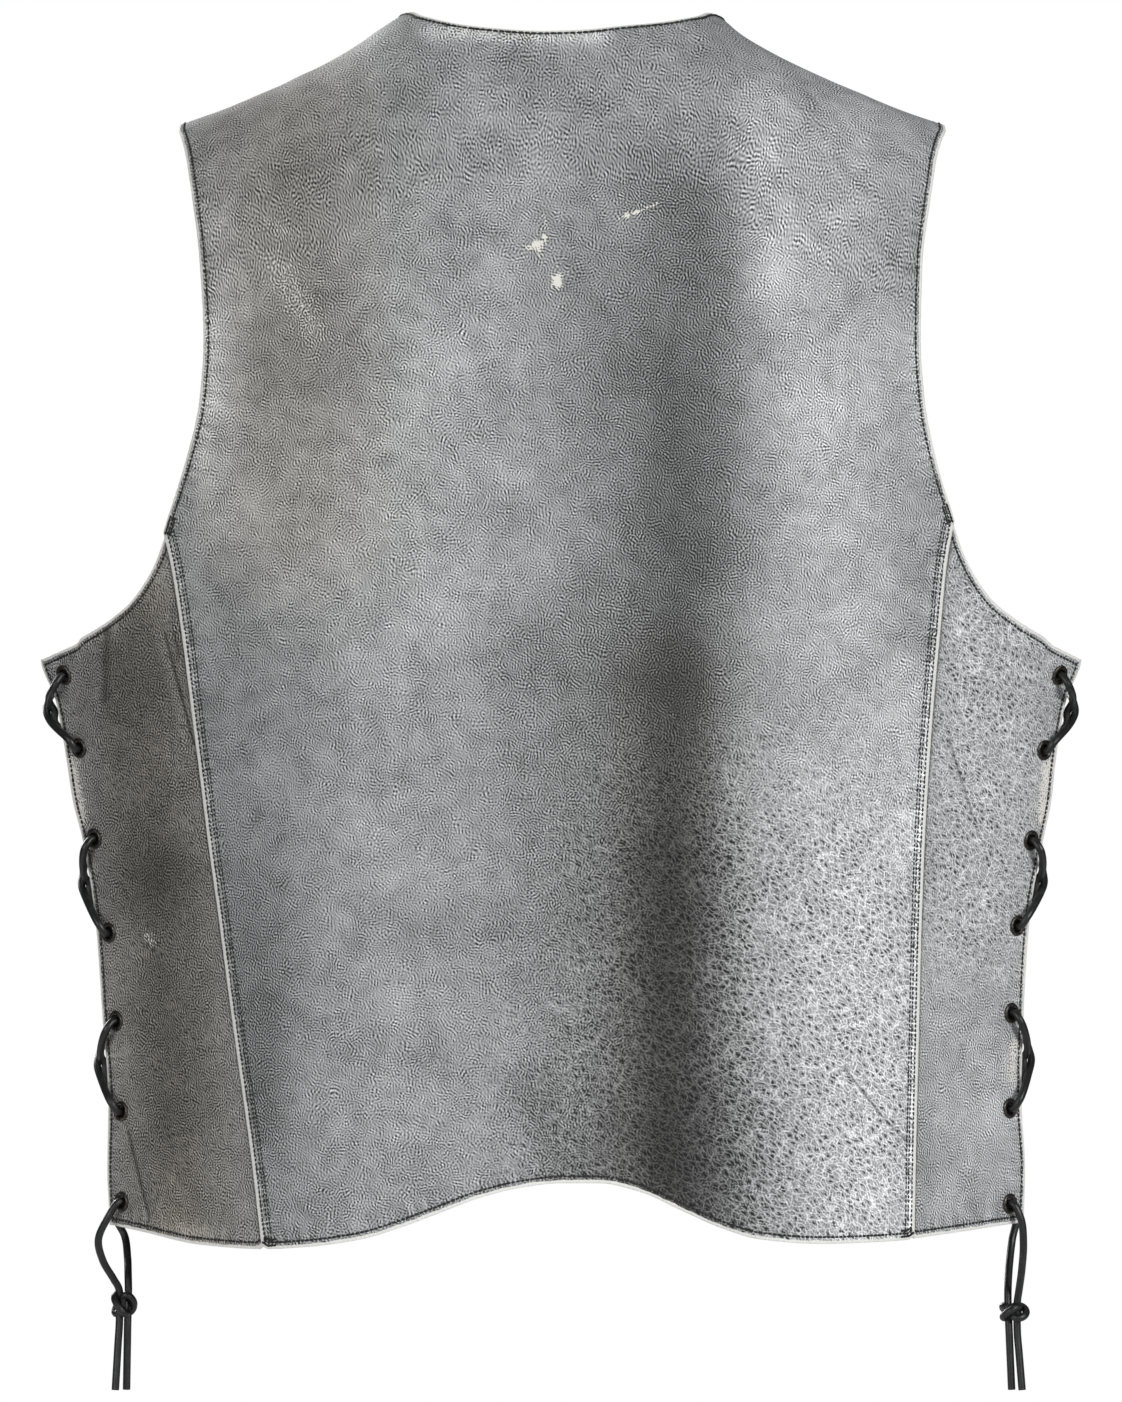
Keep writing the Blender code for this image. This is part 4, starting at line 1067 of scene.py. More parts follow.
# Panels
seam_steps = steps(SEAM_RUN, fine_start=True)
hole_steps = steps(ARMHOLE_RUN)
lap_steps = steps(SHOULDER_LAP, fine_end=True, pitch=LAP_PITCH)
back_u = join(
    NECK_START * steps(SHOULDER_RUN, fine_start=True), NECK_START + (NECK_END - NECK_START) * steps(NECK_RUN),
    NECK_END + (1.0 - NECK_END) * steps(SHOULDER_RUN, fine_end=True),
)
SEAM_COUNT = len(seam_steps)
NECK_FIRST = int(np.argmin(np.abs(back_u - NECK_START)))
NECK_LAST = int(np.argmin(np.abs(back_u - NECK_END)))
panels = {}
places = back_grid(back_u, seam_steps, hole_steps, lap_steps)
panels["back", 0] = build_panel(
    "back", "back_panel_leather", places, np.zeros(places.shape[:2]), back_edges, False,
    (leather_back, flesh),
)

side_rows = steps(SIDE_HEIGHT, True, True, SIDE_PITCH)
side_columns = steps(SIDE_WIDTH, False, True, SIDE_PITCH)
front_rows = join(
    FRONT_LACING_ROWS * steps(FRONT_LACING_RUN, fine_start=True),
    np.linspace(FRONT_LACING_ROWS, FRONT_CENTRE_ROWS, 8),
    FRONT_CENTRE_ROWS + (FRONT_ROWS - FRONT_CENTRE_ROWS) * steps(FRONT_NECK_RUN),
)
FRONT_TIP = int(np.argmin(np.abs(front_rows - FRONT_LACING_ROWS)))
FRONT_V = int(np.argmin(np.abs(front_rows - FRONT_CENTRE_ROWS)))
FRONT_TOP = len(front_rows) - 1
front_columns = steps(FRONT_WIDTH, True, True)
for side, word in SIDE_WORDS.items():
    places = side_grid(side, side_rows, side_columns)
    across = np.concatenate((np.zeros(LAP_COUNT), side_columns))
    offset = -(WALL + SEAM_GAP) * (1.0 - ease(across / SIDE_STEP_SHARE))
    offset = np.broadcast_to(offset, places.shape[:2])
    panels["side", side] = build_panel(
        "side", "side_panel_%s_leather" % word, places, offset, side_edges, side < 0, (leather_sides, flesh),
    )
    places = front_grid(side, front_rows, front_columns)
    from_top = FRONT_ROWS - np.concatenate((front_rows, np.full(LAP_COUNT, FRONT_ROWS)))
    offset = -(WALL + SEAM_GAP) * (1.0 - ease(from_top / FRONT_TOP_STEP))
    offset = np.broadcast_to(offset[:, None], places.shape[:2])
    if side > 0:
        under = 1.0 - ease((np.abs(places[..., 0]) - FRONT_STEP_START) / FRONT_STEP_RUN)
        offset = offset - (WALL + 2.0 * SEAM_GAP) * under
    panels["front", side] = build_panel(
        "front", "front_%s_leather" % word, places, offset, front_edges, side < 0, (leather_fronts, flesh),
    )


PROBE_START = 12.0
PROBE_LENGTH = 30.0


def on_sheet(panel, x, z, face):
    """Place and normal on a panel's grain side, straight out of the form."""
    p = float(run_at(x, z, face))
    normal = Vector(form_normal(x, p))
    start = Vector(form(x, p)) + normal * PROBE_START
    hit, facing, _, _ = panel["tree"].ray_cast(start, -normal, PROBE_LENGTH)
    return hit, (facing + normal).normalized()


def turned(profile, sides, ring=False):
    """Points and faces of a turned shape about Z, from (radius, height) rows; a ring has no end faces."""
    profile = np.asarray(profile, float)
    count = len(profile)
    turn = 2.0 * np.pi * np.arange(sides) / sides
    points = np.zeros((sides, count, 3))
    points[..., 0] = np.cos(turn)[:, None] * profile[:, 0]
    points[..., 1] = np.sin(turn)[:, None] * profile[:, 0]
    points[..., 2] = profile[:, 1]
    faces = []
    for s in range(sides):
        after = (s + 1) % sides
        for k in range(count if ring else count - 1):
            m = (k + 1) % count
            faces.append((s * count + k, after * count + k, after * count + m, s * count + m))
    if not ring:
        faces.append(tuple(s * count for s in range(sides - 1, -1, -1)))
        faces.append(tuple(s * count + count - 1 for s in range(sides)))
    return points.reshape(-1, 3), faces


HOLE_LEVELS = (-6.0, 4.0)
HOLE_SIDES = 20


def cut_holes(panel, spots):
    """Round holes through a panel for its eyelets."""
    points = []
    faces = []
    rod, walls = turned([(0.5 * PANEL_HOLE, level) for level in HOLE_LEVELS], HOLE_SIDES)
    for spot, normal in spots:
        turn = normal.to_track_quat("Z", "Y").to_matrix()
        start = len(points)
        points += [tuple(spot + turn @ Vector(row)) for row in rod]
        faces += [tuple(start + k for k in face) for face in walls]
    cutter = add_mesh("hole_cutter", points, faces)
    cut = panel["piece"].modifiers.new("holes", "BOOLEAN")
    cut.operation = "DIFFERENCE"
    cut.solver = "EXACT"
    cut.object = cutter
    bake_modifiers(panel["piece"])
    bpy.data.objects.remove(cutter, do_unlink=True)


eyelet_spots = {}
for side in SIDE_WORDS:
    for part, face in (("side", 1.0), ("front", -1.0)):
        spots = []
        for z, inset in EYELETS[side]:
            x = side * (float(half_width(z, side)) - inset)
            spots.append(on_sheet(panels[part, side], x, z, face))
        eyelet_spots[part, side] = spots
        cut_holes(panels[part, side], spots)


# Tone and painted light and shade of the folds (lighter above zero), browns, coarse grain, scuffs: points
# across and up, half width, strength
TONE_AND_FOLD_SHADING = {
    "back": (
        (((58.0, -70.0), (60.0, -150.0), (60.0, -300.0), (60.0, -640.0)), 24.0, -0.5),
        (((60.0, -335.0), (60.0, -640.0)), 26.0, -1.0),
        (((12.0, -330.0), (12.0, -640.0)), 36.0, -0.45),
        (((84.0, -80.0), (84.0, -260.0)), 20.0, -0.45),
        (((82.0, -440.0), (80.0, -640.0)), 18.0, -0.25),
        (((150.0, -20.0), (140.0, -150.0)), 40.0, 0.3),
        (((142.0, -200.0), (160.0, -350.0), (172.0, -620.0)), 44.0, 0.45),
        (((96.0, -560.0), (92.0, -640.0)), 26.0, -0.45),
        (((36.0, -430.0), (36.0, -640.0)), 26.0, -0.35),
        (((-15.0, -555.0), (4.0, -604.0)), 13.0, -0.4),
        (((26.0, -560.0), (18.0, -604.0)), 12.0, -0.35),
        (((-45.0, -60.0), (-90.0, -250.0), (-90.0, -430.0), (-78.0, -590.0)), 46.0, 0.12),
        (((-72.0, -150.0), (-70.0, -290.0)), 40.0, 0.18),
        (((-186.0, -80.0), (-186.0, -240.0)), 16.0, 0.4),
        (((-176.0, -440.0), (-172.0, -590.0)), 22.0, -0.35),
        (((-100.0, -463.0), (0.0, -463.0)), 16.0, -0.2),
        (((-72.0, 21.0), (-30.0, 18.0), (20.0, 18.0)), 6.0, 0.7),
        (((58.0, -415.0), (58.0, -600.0)), 18.0, -0.4),
        (((108.0, -20.0), (106.0, -120.0)), 17.0, 0.4),
        (((190.0, -330.0), (192.0, -420.0)), 15.0, 0.3),
        (((-118.0, 0.0), (-90.0, 8.0)), 15.0, 0.3),
        (((-140.0, -80.0), (-128.0, -150.0)), 26.0, -0.2),
        (((20.0, -150.0), (48.0, -240.0), (66.0, -300.0)), 30.0, -0.27),
        (((58.0, -450.0), (62.0, -600.0)), 24.0, -0.26),
        (((40.0, -580.0), (90.0, -600.0)), 20.0, -0.2),
        (((-163.0, -480.0), (-160.0, -570.0)), 14.0, -0.28),
        (((-155.0, -200.0), (-145.0, -290.0)), 22.0, 0.22),
        (((-192.0, -135.0), (-191.0, -175.0), (-198.0, -215.0)), 7.0, 0.35),
        (((192.0, -150.0), (196.0, -210.0)), 7.0, 0.25),
    ),
    "side": (
        (((-250.0, -545.0), (-248.0, -560.0)), 16.0, 0.25),
        (((238.0, -540.0), (236.0, -560.0)), 16.0, 0.25),
        (((-228.0, -310.0), (-218.0, -480.0), (-206.0, -630.0)), 30.0, -0.3),
        (((-238.0, -320.0), (-228.0, -430.0)), 30.0, -0.65),
        (((-208.0, -440.0), (-204.0, -560.0)), 24.0, -0.55),
        (((-226.0, -440.0), (-220.0, -590.0)), 18.0, -0.25),
        (((235.0, -300.0), (230.0, -620.0)), 60.0, 0.28),
        (((-245.0, -300.0), (-225.0, -640.0)), 60.0, -0.08),
        (((-216.0, -629.0), (-192.0, -634.0)), 6.0, 0.6),
        (((-262.0, -306.0), (-250.0, -300.0)), 9.0, 0.5),
        (((-225.0, -300.0), (-222.0, -330.0)), 26.0, -0.28),
        (((-205.0, -600.0), (-200.0, -650.0)), 30.0, -0.25),
    ),
    "front": (
        (((-120.0, -60.0), (-110.0, -240.0), (-124.0, -600.0)), 34.0, -0.35),
        (((-60.0, -330.0), (-56.0, -600.0)), 26.0, 0.25),
        (((-190.0, -330.0), (-186.0, -600.0)), 26.0, 0.2),
        (((110.0, -90.0), (104.0, -300.0), (112.0, -600.0)), 30.0, -0.3),
        (((60.0, -360.0), (54.0, -590.0)), 22.0, 0.2),
        (((176.0, -300.0), (186.0, -590.0)), 30.0, 0.25),
    ),
}
BROWNS = {
    "back": (
        (((-152.0, -20.0), (-146.0, -240.0)), 46.0, 0.5),
        (((56.0, -330.0), (50.0, -630.0)), 30.0, 0.3),
    ),
    "side": (
        (((-228.0, -290.0), (-218.0, -480.0), (-208.0, -650.0)), 36.0, 0.95),
    ),
    "front": (
        (((-150.0, -420.0), (-140.0, -600.0)), 50.0, 0.6),
        (((120.0, -120.0), (110.0, -300.0)), 50.0, 0.5),
    ),
}
COARSE = {
    "back": (
        (((150.0, -480.0), (140.0, -640.0)), 95.0, 1.1),
        (((60.0, -420.0), (20.0, -600.0)), 70.0, 0.5),
    ),
    "side": (
        (((232.0, -310.0), (226.0, -450.0)), 50.0, 0.95),
        (((-230.0, -320.0), (-210.0, -630.0)), 60.0, 0.25),
    ),
    "front": (
        (((-160.0, -430.0), (-140.0, -610.0)), 70.0, 0.9),
        (((120.0, -500.0), (100.0, -610.0)), 60.0, 0.6),
    ),
}
SCUFFS = {
    "back": (
        (((-72.0, 21.0), (-30.0, 18.0), (20.0, 18.0)), 5.0, 0.65),
        (((-152.0, -110.0), (-134.0, -142.0)), 15.0, 0.72),
        (((-160.0, -82.0), (-150.0, -90.0)), 5.0, 0.7),
    ),
    "side": (
        (((-227.0, -471.0), (-224.0, -474.0)), 3.4, 0.85),
        (((-270.0, -377.0), (-265.0, -408.0)), 6.0, 1.2),
        (((-209.0, -300.0), (-206.0, -310.0)), 5.0, 0.5),
        (((267.0, -377.0), (263.0, -408.0)), 5.0, 1.1),
        (((255.5, -474.0), (253.0, -500.0)), 4.0, 0.9),
        (((248.0, -530.0), (247.0, -550.0)), 4.5, 1.0),
    ),
    "front": (
        (((-120.0, -250.0), (-108.0, -268.0)), 12.0, 0.5),
        (((92.0, -150.0), (99.0, -158.0)), 6.0, 0.8),
        (((150.0, -500.0), (154.0, -512.0)), 5.0, 0.75),
        (((-62.0, -585.0), (-52.0, -590.0)), 6.0, 0.7),
    ),
}

# Beside the seams: distance that counts as far, slack, painted shade in the thread grooves, pale row
LAP_FAR = 99.0
SEAM_SLACK = 0.4
SEAM_GROOVE = 0.55
SEAM_GROOVES = (0.6, 0.9, 0.6)
SEAM_PALE_IN = 4.2
SEAM_PALE_WIDTH = 2.0
EDGE_GROOVE = 0.7
GIRTH_STEPS = 30


def girth(x, z, face):
    """Distance along the sheet from the middle of the vest."""
    total = np.zeros(np.shape(x))
    before = np.zeros(np.shape(x)), depth(0.0 * x, z, face)
    for share in np.linspace(0.0, 1.0, GIRTH_STEPS + 1)[1:]:
        after = share * x, depth(share * x, z, face)
        total = total + np.hypot(after[0] - before[0], after[1] - before[1])
        before = after
    return np.sign(x) * total


def paint(panel):
    """Writes what the leather's finish reads onto the panel's points."""
    mesh = panel["piece"].data
    count = len(mesh.vertices)
    flat = np.zeros(3 * count)
    mesh.vertices.foreach_get("co", flat)
    points = flat.reshape(-1, 3) / MM
    x = points[:, 0]
    z = points[:, 2]
    kind = panel["kind"]
    edge, along = nearest(panel["rim"], points)
    # Painted shade in the sunk edge stitch row; at a seam it follows the seam rows
    groove = np.exp(-((edge - EDGE_ROW) / EDGE_GROOVE) ** 2)
    rim_width = np.full(count, EDGE_WEAR)
    # Tone strokes: the leather's own tone together with painted light and shade of the folds
    tone = strokes(TONE_AND_FOLD_SHADING, kind, x, z)
    lap = np.full(count, LAP_FAR)
    face = -1.0 if kind == "front" else 1.0
    if kind != "front":
        lines = panels["back", 0]["lines"]
        seams = nearest([dense(lines["seam_" + word]) for word in SIDE_WORDS.values()], points)[0]
    if kind == "side":
        lap = seams
    if kind == "back":
        rows = [
            strength * np.exp(-((seams - row) / SEAM_GROOVE) ** 2)
            for row, strength in zip(SEAM_ROWS_IN, SEAM_GROOVES)
        ]
        at_seam = seams < edge + SEAM_SLACK
        groove = np.where(at_seam, sum(rows), groove)
        rim_width = np.where(at_seam, SEAM_WEAR, rim_width)
        tone = tone + SEAM_BASE_PALE * np.exp(-((seams - SEAM_PALE_IN) / SEAM_PALE_WIDTH) ** 2)
    level = shoulder_height(x) - np.abs(run_at(x, z, face))
    values = {
        "edge": edge, "along": along, "groove": groove, "tone": np.exp(tone), "rim": edge / rim_width,
        "girth": girth(x, z, face) * MM, "level": level * MM, "brown": strokes(BROWNS, kind, x, z),
        "coarse": strokes(COARSE, kind, x, z), "scuff": strokes(SCUFFS, kind, x, z), "lap": lap,
    }
    for name, row in values.items():
        made = mesh.attributes.new(name, "FLOAT", "POINT")
        made.data.foreach_set("value", np.asarray(row, "float32"))


for panel in panels.values():
    paint(panel)


class Recipe:
    """A Geometry Nodes tree with named inputs."""

    def __init__(self, name, inputs):
        self.tree = bpy.data.node_groups.new(name, "GeometryNodeTree")
        face = self.tree.interface
        face.new_socket("Geometry", in_out="INPUT", socket_type="NodeSocketGeometry")
        for label, kind in inputs:
            face.new_socket(label, in_out="INPUT", socket_type="NodeSocket" + kind)
        face.new_socket("Geometry", in_out="OUTPUT", socket_type="NodeSocketGeometry")
        self.given = self.tree.nodes.new("NodeGroupInput").outputs
        self.result = self.tree.nodes.new("NodeGroupOutput").inputs[0]

    def node(self, kind, settings=None, sockets=None, out=0):
        made = self.tree.nodes.new(kind)
        for key, value in (settings or {}).items():
            setattr(made, key, value)
        for key, value in (sockets or {}).items():
            if isinstance(value, bpy.types.NodeSocket):
                self.tree.links.new(value, made.inputs[key])
            else:
                made.inputs[key].default_value = value
        return made.outputs[out]

    def maths(self, operation, first, second):
        return self.node("ShaderNodeMath", {"operation": operation}, {0: first, 1: second})

    def facing(self, along):
        """Turn that stands Z on the sheet's normal and lays X along a direction."""
        outward = self.node(
            "GeometryNodeInputNamedAttribute", {"data_type": "FLOAT_VECTOR"}, {"Name": "outward"},
        )
        settings = {"primary_axis": "Z", "secondary_axis": "X"}
        return self.node("FunctionNodeAxesToRotation", settings, {0: outward, 1: along})

    def end(self, instances):
        """Ends the tree: plain smooth geometry in the given material."""
        real = self.node("GeometryNodeRealizeInstances", {}, {0: instances})
        shaded = self.node("GeometryNodeSetShadeSmooth", {}, {"Geometry": real})
        sockets = {"Geometry": shaded, "Material": self.given["Material"]}
        self.tree.links.new(self.node("GeometryNodeSetMaterial", {}, sockets), self.result)

    def make(self, piece, values):
        """Runs the tree on a piece and keeps the result as its plain mesh."""
        modifier = piece.modifiers.new("recipe", "NODES")
        modifier.node_group = self.tree
        for item in self.tree.interface.items_tree:
            if item.in_out == "INPUT" and item.name in values:
                modifier[item.identifier] = values[item.name]
        bake_modifiers(piece)
        return piece


SMALLEST_STITCH = 0.86
LARGEST_STITCH = 1.1
STITCH_STEPS = 4
STITCH_SIDES = 6


def stitch_recipe():
    """Arched thread stitches along lines that carry the sheet's normal."""
    recipe = Recipe("stitches", (
        ("Pitch", "Float"), ("Length", "Float"), ("Thickness", "Float"), ("Rise", "Float"), ("Sink", "Float"),
        ("Seed", "Int"), ("Material", "Material"),
    ))
    given = recipe.given
    line = recipe.node("GeometryNodeMeshToCurve", {}, {"Mesh": given["Geometry"]})
    sockets = {"Curve": line, "Length": given["Pitch"]}
    line = recipe.node("GeometryNodeResampleCurve", {"mode": "LENGTH"}, sockets)
    half = recipe.maths("MULTIPLY", given["Length"], 0.5)
    low = recipe.maths("MULTIPLY", given["Sink"], -1.0)
    start = recipe.node("ShaderNodeCombineXYZ", {}, {"X": recipe.maths("MULTIPLY", half, -1.0), "Z": low})
    end = recipe.node("ShaderNodeCombineXYZ", {}, {"X": half, "Z": low})
    top = recipe.node("ShaderNodeCombineXYZ", {}, {"Z": recipe.maths("MULTIPLY", given["Rise"], 2.0)})
    arch = recipe.node(
        "GeometryNodeCurveQuadraticBezier", {},
        {"Resolution": STITCH_STEPS, "Start": start, "Middle": top, "End": end},
    )
    radius = recipe.maths("MULTIPLY", given["Thickness"], 0.5)
    ring = recipe.node("GeometryNodeCurvePrimitiveCircle", {}, {"Resolution": STITCH_SIDES, "Radius": radius})
    sockets = {"Curve": arch, "Profile Curve": ring, "Fill Caps": True}
    stitch = recipe.node("GeometryNodeCurveToMesh", {}, sockets)
    tangent = recipe.node("GeometryNodeInputTangent")
    sockets = {2: SMALLEST_STITCH, 3: LARGEST_STITCH, "Seed": given["Seed"]}
    size = recipe.node("FunctionNodeRandomValue", {"data_type": "FLOAT"}, sockets, 1)
    placed = recipe.node(
        "GeometryNodeInstanceOnPoints", {},
        {"Points": line, "Instance": stitch, "Rotation": recipe.facing(tangent), "Scale": size},
    )
    recipe.end(placed)
    return recipe


def fitting_recipe():
    """A metal fitting on each point, turned to the sheet's normal."""
    recipe = Recipe("fittings", (("Fitting", "Object"), ("Material", "Material")))
    given = recipe.given
    shape = recipe.node("GeometryNodeObjectInfo", {}, {"Object": given["Fitting"]}, "Geometry")
    points = recipe.node("GeometryNodeMeshToPoints", {}, {"Mesh": given["Geometry"], "Radius": MM})
    up = recipe.node("ShaderNodeCombineXYZ", {}, {"Z": 1.0})
    placed = recipe.node(
        "GeometryNodeInstanceOnPoints", {},
        {"Points": points, "Instance": shape, "Rotation": recipe.facing(up)},
    )
    recipe.end(placed)
    return recipe


def carried(name, lines):
    """Object of open lines, each a list of (point, normal), that carries the normals."""
    points = []
    links = []
    normals = []
    for line in lines:
        start = len(points)
        points += [np.asarray(point) * MM for point, _ in line]
        normals += [tuple(normal) for _, normal in line]
        links += [(start + k, start + k + 1) for k in range(len(line) - 1)]
    mesh = bpy.data.meshes.new(name)
    mesh.from_pydata([tuple(row) for row in points], links, [])
    outward = mesh.attributes.new("outward", "FLOAT_VECTOR", "POINT")
    outward.data.foreach_set("vector", np.asarray(normals, "float32").ravel())
    made = bpy.data.objects.new(name, mesh)
    bpy.context.scene.collection.objects.link(made)
    return made


def stitch_line(panel, name, inset, trim_start, trim_end):
    """Line on a panel that runs beside one of its edges."""
    edge = panel["lines"][name]
    run = run_along(edge)
    at = np.arange(trim_start, run[-1] - trim_end, 1.0)
    points = taken_at(edge, run, at)
    normal = unit(taken_at(panel["normals"][name], run, at))
    inward = unit(np.cross(normal, unit(np.gradient(points, axis=0))))
    hint = taken_at(panel["inward"][name], run, at) - points
    if np.sum(inward * hint) < 0.0:
        inward = -inward
    line = []
    for row in points + inset * inward:
        spot, facing, _, _ = panel["tree"].find_nearest(Vector(row))
        line.append((spot, facing))
    return line


TACK_LENGTH = 10.0
TACK_ROWS_IN = (1.9, 5.2)
TACK_TRIM = 0.6


def tack_rows(panel):
    """Short dense rows that lock the ends of the seam rows."""
    rows = []
    for name, at_end in (("armhole_left", False), ("armhole_right", False), ("hem", False), ("hem", True)):
        rest = np.linalg.norm(np.diff(panel["lines"][name], axis=0), axis=1).sum() - TACK_LENGTH
        trims = (rest, TACK_TRIM) if at_end else (TACK_TRIM, rest)
        rows += [(name, inset) + trims for inset in TACK_ROWS_IN]
    return tuple(rows)


stitches = stitch_recipe()
fittings = fitting_recipe()
NECK_ROW = 2.9
STITCH_RISE = 0.3
STITCH_SINK = 0.35

# Stitches: pitch, length, thickness
EDGE_STITCH = (2.6, 1.5, 1.4)
NECK_STITCH = (3.5, 2.5, 1.6)
SHOULDER_STITCH = (3.3, 2.3, 1.1)
SEAM_STITCH = (2.5, 1.35, 1.05)
TACK_STITCH = (1.6, 1.3, 1.4)

# Stitched rows: edge, distance in, trim at the start and at the end
BACK_ROWS = (
    ("hem", EDGE_ROW, 1.0, 1.0), ("armhole_left", EDGE_ROW, 1.0, 3.0), ("armhole_right", EDGE_ROW, 1.0, 3.0),
)
SHOULDER_ROWS = tuple(("shoulder_" + word, EDGE_ROW, 3.0, 3.0) for word in SIDE_WORDS.values())
SEAM_ROWS = tuple(("seam_" + word, inset, 0.8, 1.0) for word in SIDE_WORDS.values() for inset in SEAM_ROWS_IN)
SIDE_ROWS = (("hem", EDGE_ROW, 1.0, 3.0), ("lacing", EDGE_ROW, 3.0, 3.0), ("armhole", EDGE_ROW, 1.0, 3.0))
FRONT_EDGE_ROWS = tuple((name, EDGE_ROW, 3.0, 3.0) for name in ("hem", "lacing", "armhole", "centre", "neck"))

# Sewing: piece, panel, rows, stitch, seed
SEWN = (
    ("stitches_back_edges", ("back", 0), BACK_ROWS, EDGE_STITCH, 11),
    ("stitches_back_neck", ("back", 0), (("neck", NECK_ROW, 3.0, 3.0),), NECK_STITCH, 12),
    ("stitches_back_shoulders", ("back", 0), SHOULDER_ROWS, SHOULDER_STITCH, 13),
    ("stitches_back_seams", ("back", 0), SEAM_ROWS, SEAM_STITCH, 14),
    ("stitches_back_tacks", ("back", 0), tack_rows(panels["back", 0]), TACK_STITCH, 19),
    ("stitches_side_left", ("side", -1), SIDE_ROWS, EDGE_STITCH, 15),
    ("stitches_side_right", ("side", 1), SIDE_ROWS, EDGE_STITCH, 16),
    ("stitches_front_left", ("front", -1), FRONT_EDGE_ROWS, EDGE_STITCH, 17),
    ("stitches_front_right", ("front", 1), FRONT_EDGE_ROWS, EDGE_STITCH, 18),
)
sewing = {}
for name, key, rows, (pitch, length, thickness), seed in SEWN:
    piece = carried(name, [stitch_line(panels[key], *row) for row in rows])
    stitches.make(piece, {
        "Pitch": pitch * MM, "Length": length * MM, "Thickness": thickness * MM, "Rise": STITCH_RISE * MM,
        "Sink": STITCH_SINK * MM, "Seed": seed, "Material": thread,
    })
    sewing.setdefault(key, []).append(piece)


def settle(piece, slot, *nodes):
    """Fixes a piece to the vest's body, in place of the solids that it stands for."""
    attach(piece, "root")
    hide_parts(*nodes)


# Profiles of the metal: radius, height above the leather
EYELET_PROFILE = (
    (3.25, -3.0), (3.6, -3.2), (4.1, -3.15), (4.5, -2.85), (4.6, -2.5), (4.2, -2.3), (3.6, -2.2), (3.6, 0.1),
    (4.3, 0.3), (5.2, 0.25), (5.62, 0.2), (5.7, 0.45), (5.5, 0.85), (5.05, 1.15), (4.5, 1.28), (3.95, 1.22),
    (3.5, 0.95), (3.25, 0.5),
)
SNAP_PROFILE = (
    (6.8, 0.35), (7.3, 0.5), (7.5, 0.9), (7.35, 1.25), (6.9, 1.4), (6.3, 1.45), (6.0, 1.6),
    (5.6, 2.05), (4.6, 2.5), (3.2, 2.8), (1.6, 2.93), (0.5, 2.95),
)
EYELET_SIDES = 28
SNAP_SIDES = 32
eyelet_shape = add_mesh("eyelet_shape", *turned(EYELET_PROFILE, EYELET_SIDES, True))
snap_shape = add_mesh("snap_shape", *turned(SNAP_PROFILE, SNAP_SIDES))
for (part, side), spots in eyelet_spots.items():
    edge_word = "back" if part == "side" else "front"
    name = "eyelets_%s_%s" % (edge_word, SIDE_WORDS[side])
    piece = carried(name, [[spot] for spot in spots])
    fittings.make(piece, {"Fitting": eyelet_shape, "Material": metal})
    nodes = ["eyelet_%s_%s_%d" % (edge_word, SIDE_WORDS[side], k + 1) for k in range(len(spots))]
    settle(piece, "eyelet_metal", *nodes)
snaps = carried("snap_caps", [[on_sheet(panels["front", -1], x, z, -1.0)] for z, x in SNAPS])
fittings.make(snaps, {"Fitting": snap_shape, "Material": metal})
settle(snaps, "snap_metal", "snap_1", "snap_2", "snap_3", "snap_4")
for shape in (eyelet_shape, snap_shape):
    bpy.data.objects.remove(shape, do_unlink=True)


def smooth_route(route, finer=6):
    """Points of a smooth line through a route of (point, pieces up to the next point)."""
    stops = [np.asarray(point, float) for point, _ in route]
    ends = [2.0 * stops[0] - stops[1]] + stops + [2.0 * stops[-1] - stops[-2]]
    line = []
    for i in range(1, len(ends) - 2):
        a, b, c, d = ends[i - 1:i + 3]
        ta = max(np.linalg.norm(b - a), 1e-6) ** 0.5
        tb = max(np.linalg.norm(c - b), 1e-6) ** 0.5
        tc = max(np.linalg.norm(d - c), 1e-6) ** 0.5
        m1 = tb * ((b - a) / ta - (c - a) / (ta + tb) + (c - b) / tb)
        m2 = tb * ((c - b) / tb - (d - b) / (tb + tc) + (d - c) / tc)
        t = (np.arange(route[i - 1][1] * finer) / (route[i - 1][1] * finer))[:, None]
        h1, h2, h3, h4 = blend_weights(t)
        line.append(h1 * b + h2 * m1 + h3 * c + h4 * m2)
    line.append(stops[-1][None])
    return np.vstack(line)


def side_of(place):
    return 1.0 if place.x > 0.0 else -1.0


def by_edge(side, reach, y, z):
    """Point that lies a reach beyond the lacing edge."""
    return Vector((side * (float(half_width(z, side)) + reach), y, z))


def outside_crossing(start, end, reach, clear):
    """Route over the lacing gap from one eyelet out to the next one in."""
    (a, na), (b, nb) = start, end
    side = side_of(a)
    level = 0.5 * (a.z + b.z)
    middle = by_edge(side, reach, 0.0, level)
    slope = Vector((0.0, 0.0, b.z - a.z)).normalized()
    near_a = a + na * LACE_RISE + Vector((side * LACE_LEAN, 0.0, 0.0)) + slope * LACE_RUN
    near_b = b + nb * LACE_RISE + Vector((side * LACE_LEAN, 0.0, 0.0)) - slope * LACE_RUN
    face = 1.0 if a.y > 0.0 else -1.0
    pass_a = by_edge(side, clear, face * EDGE_PASS_DEPTH, level - slope.z * EDGE_PASS_RISE)
    pass_b = by_edge(side, clear, -face * EDGE_PASS_DEPTH, level + slope.z * EDGE_PASS_RISE)
    return [
        (a + na * LACE_OUT, 2), (near_a, 2), (pass_a, 1), (middle, 1), (pass_b, 2), (near_b, 2),
        (b + nb * LACE_OUT, 1),
    ]


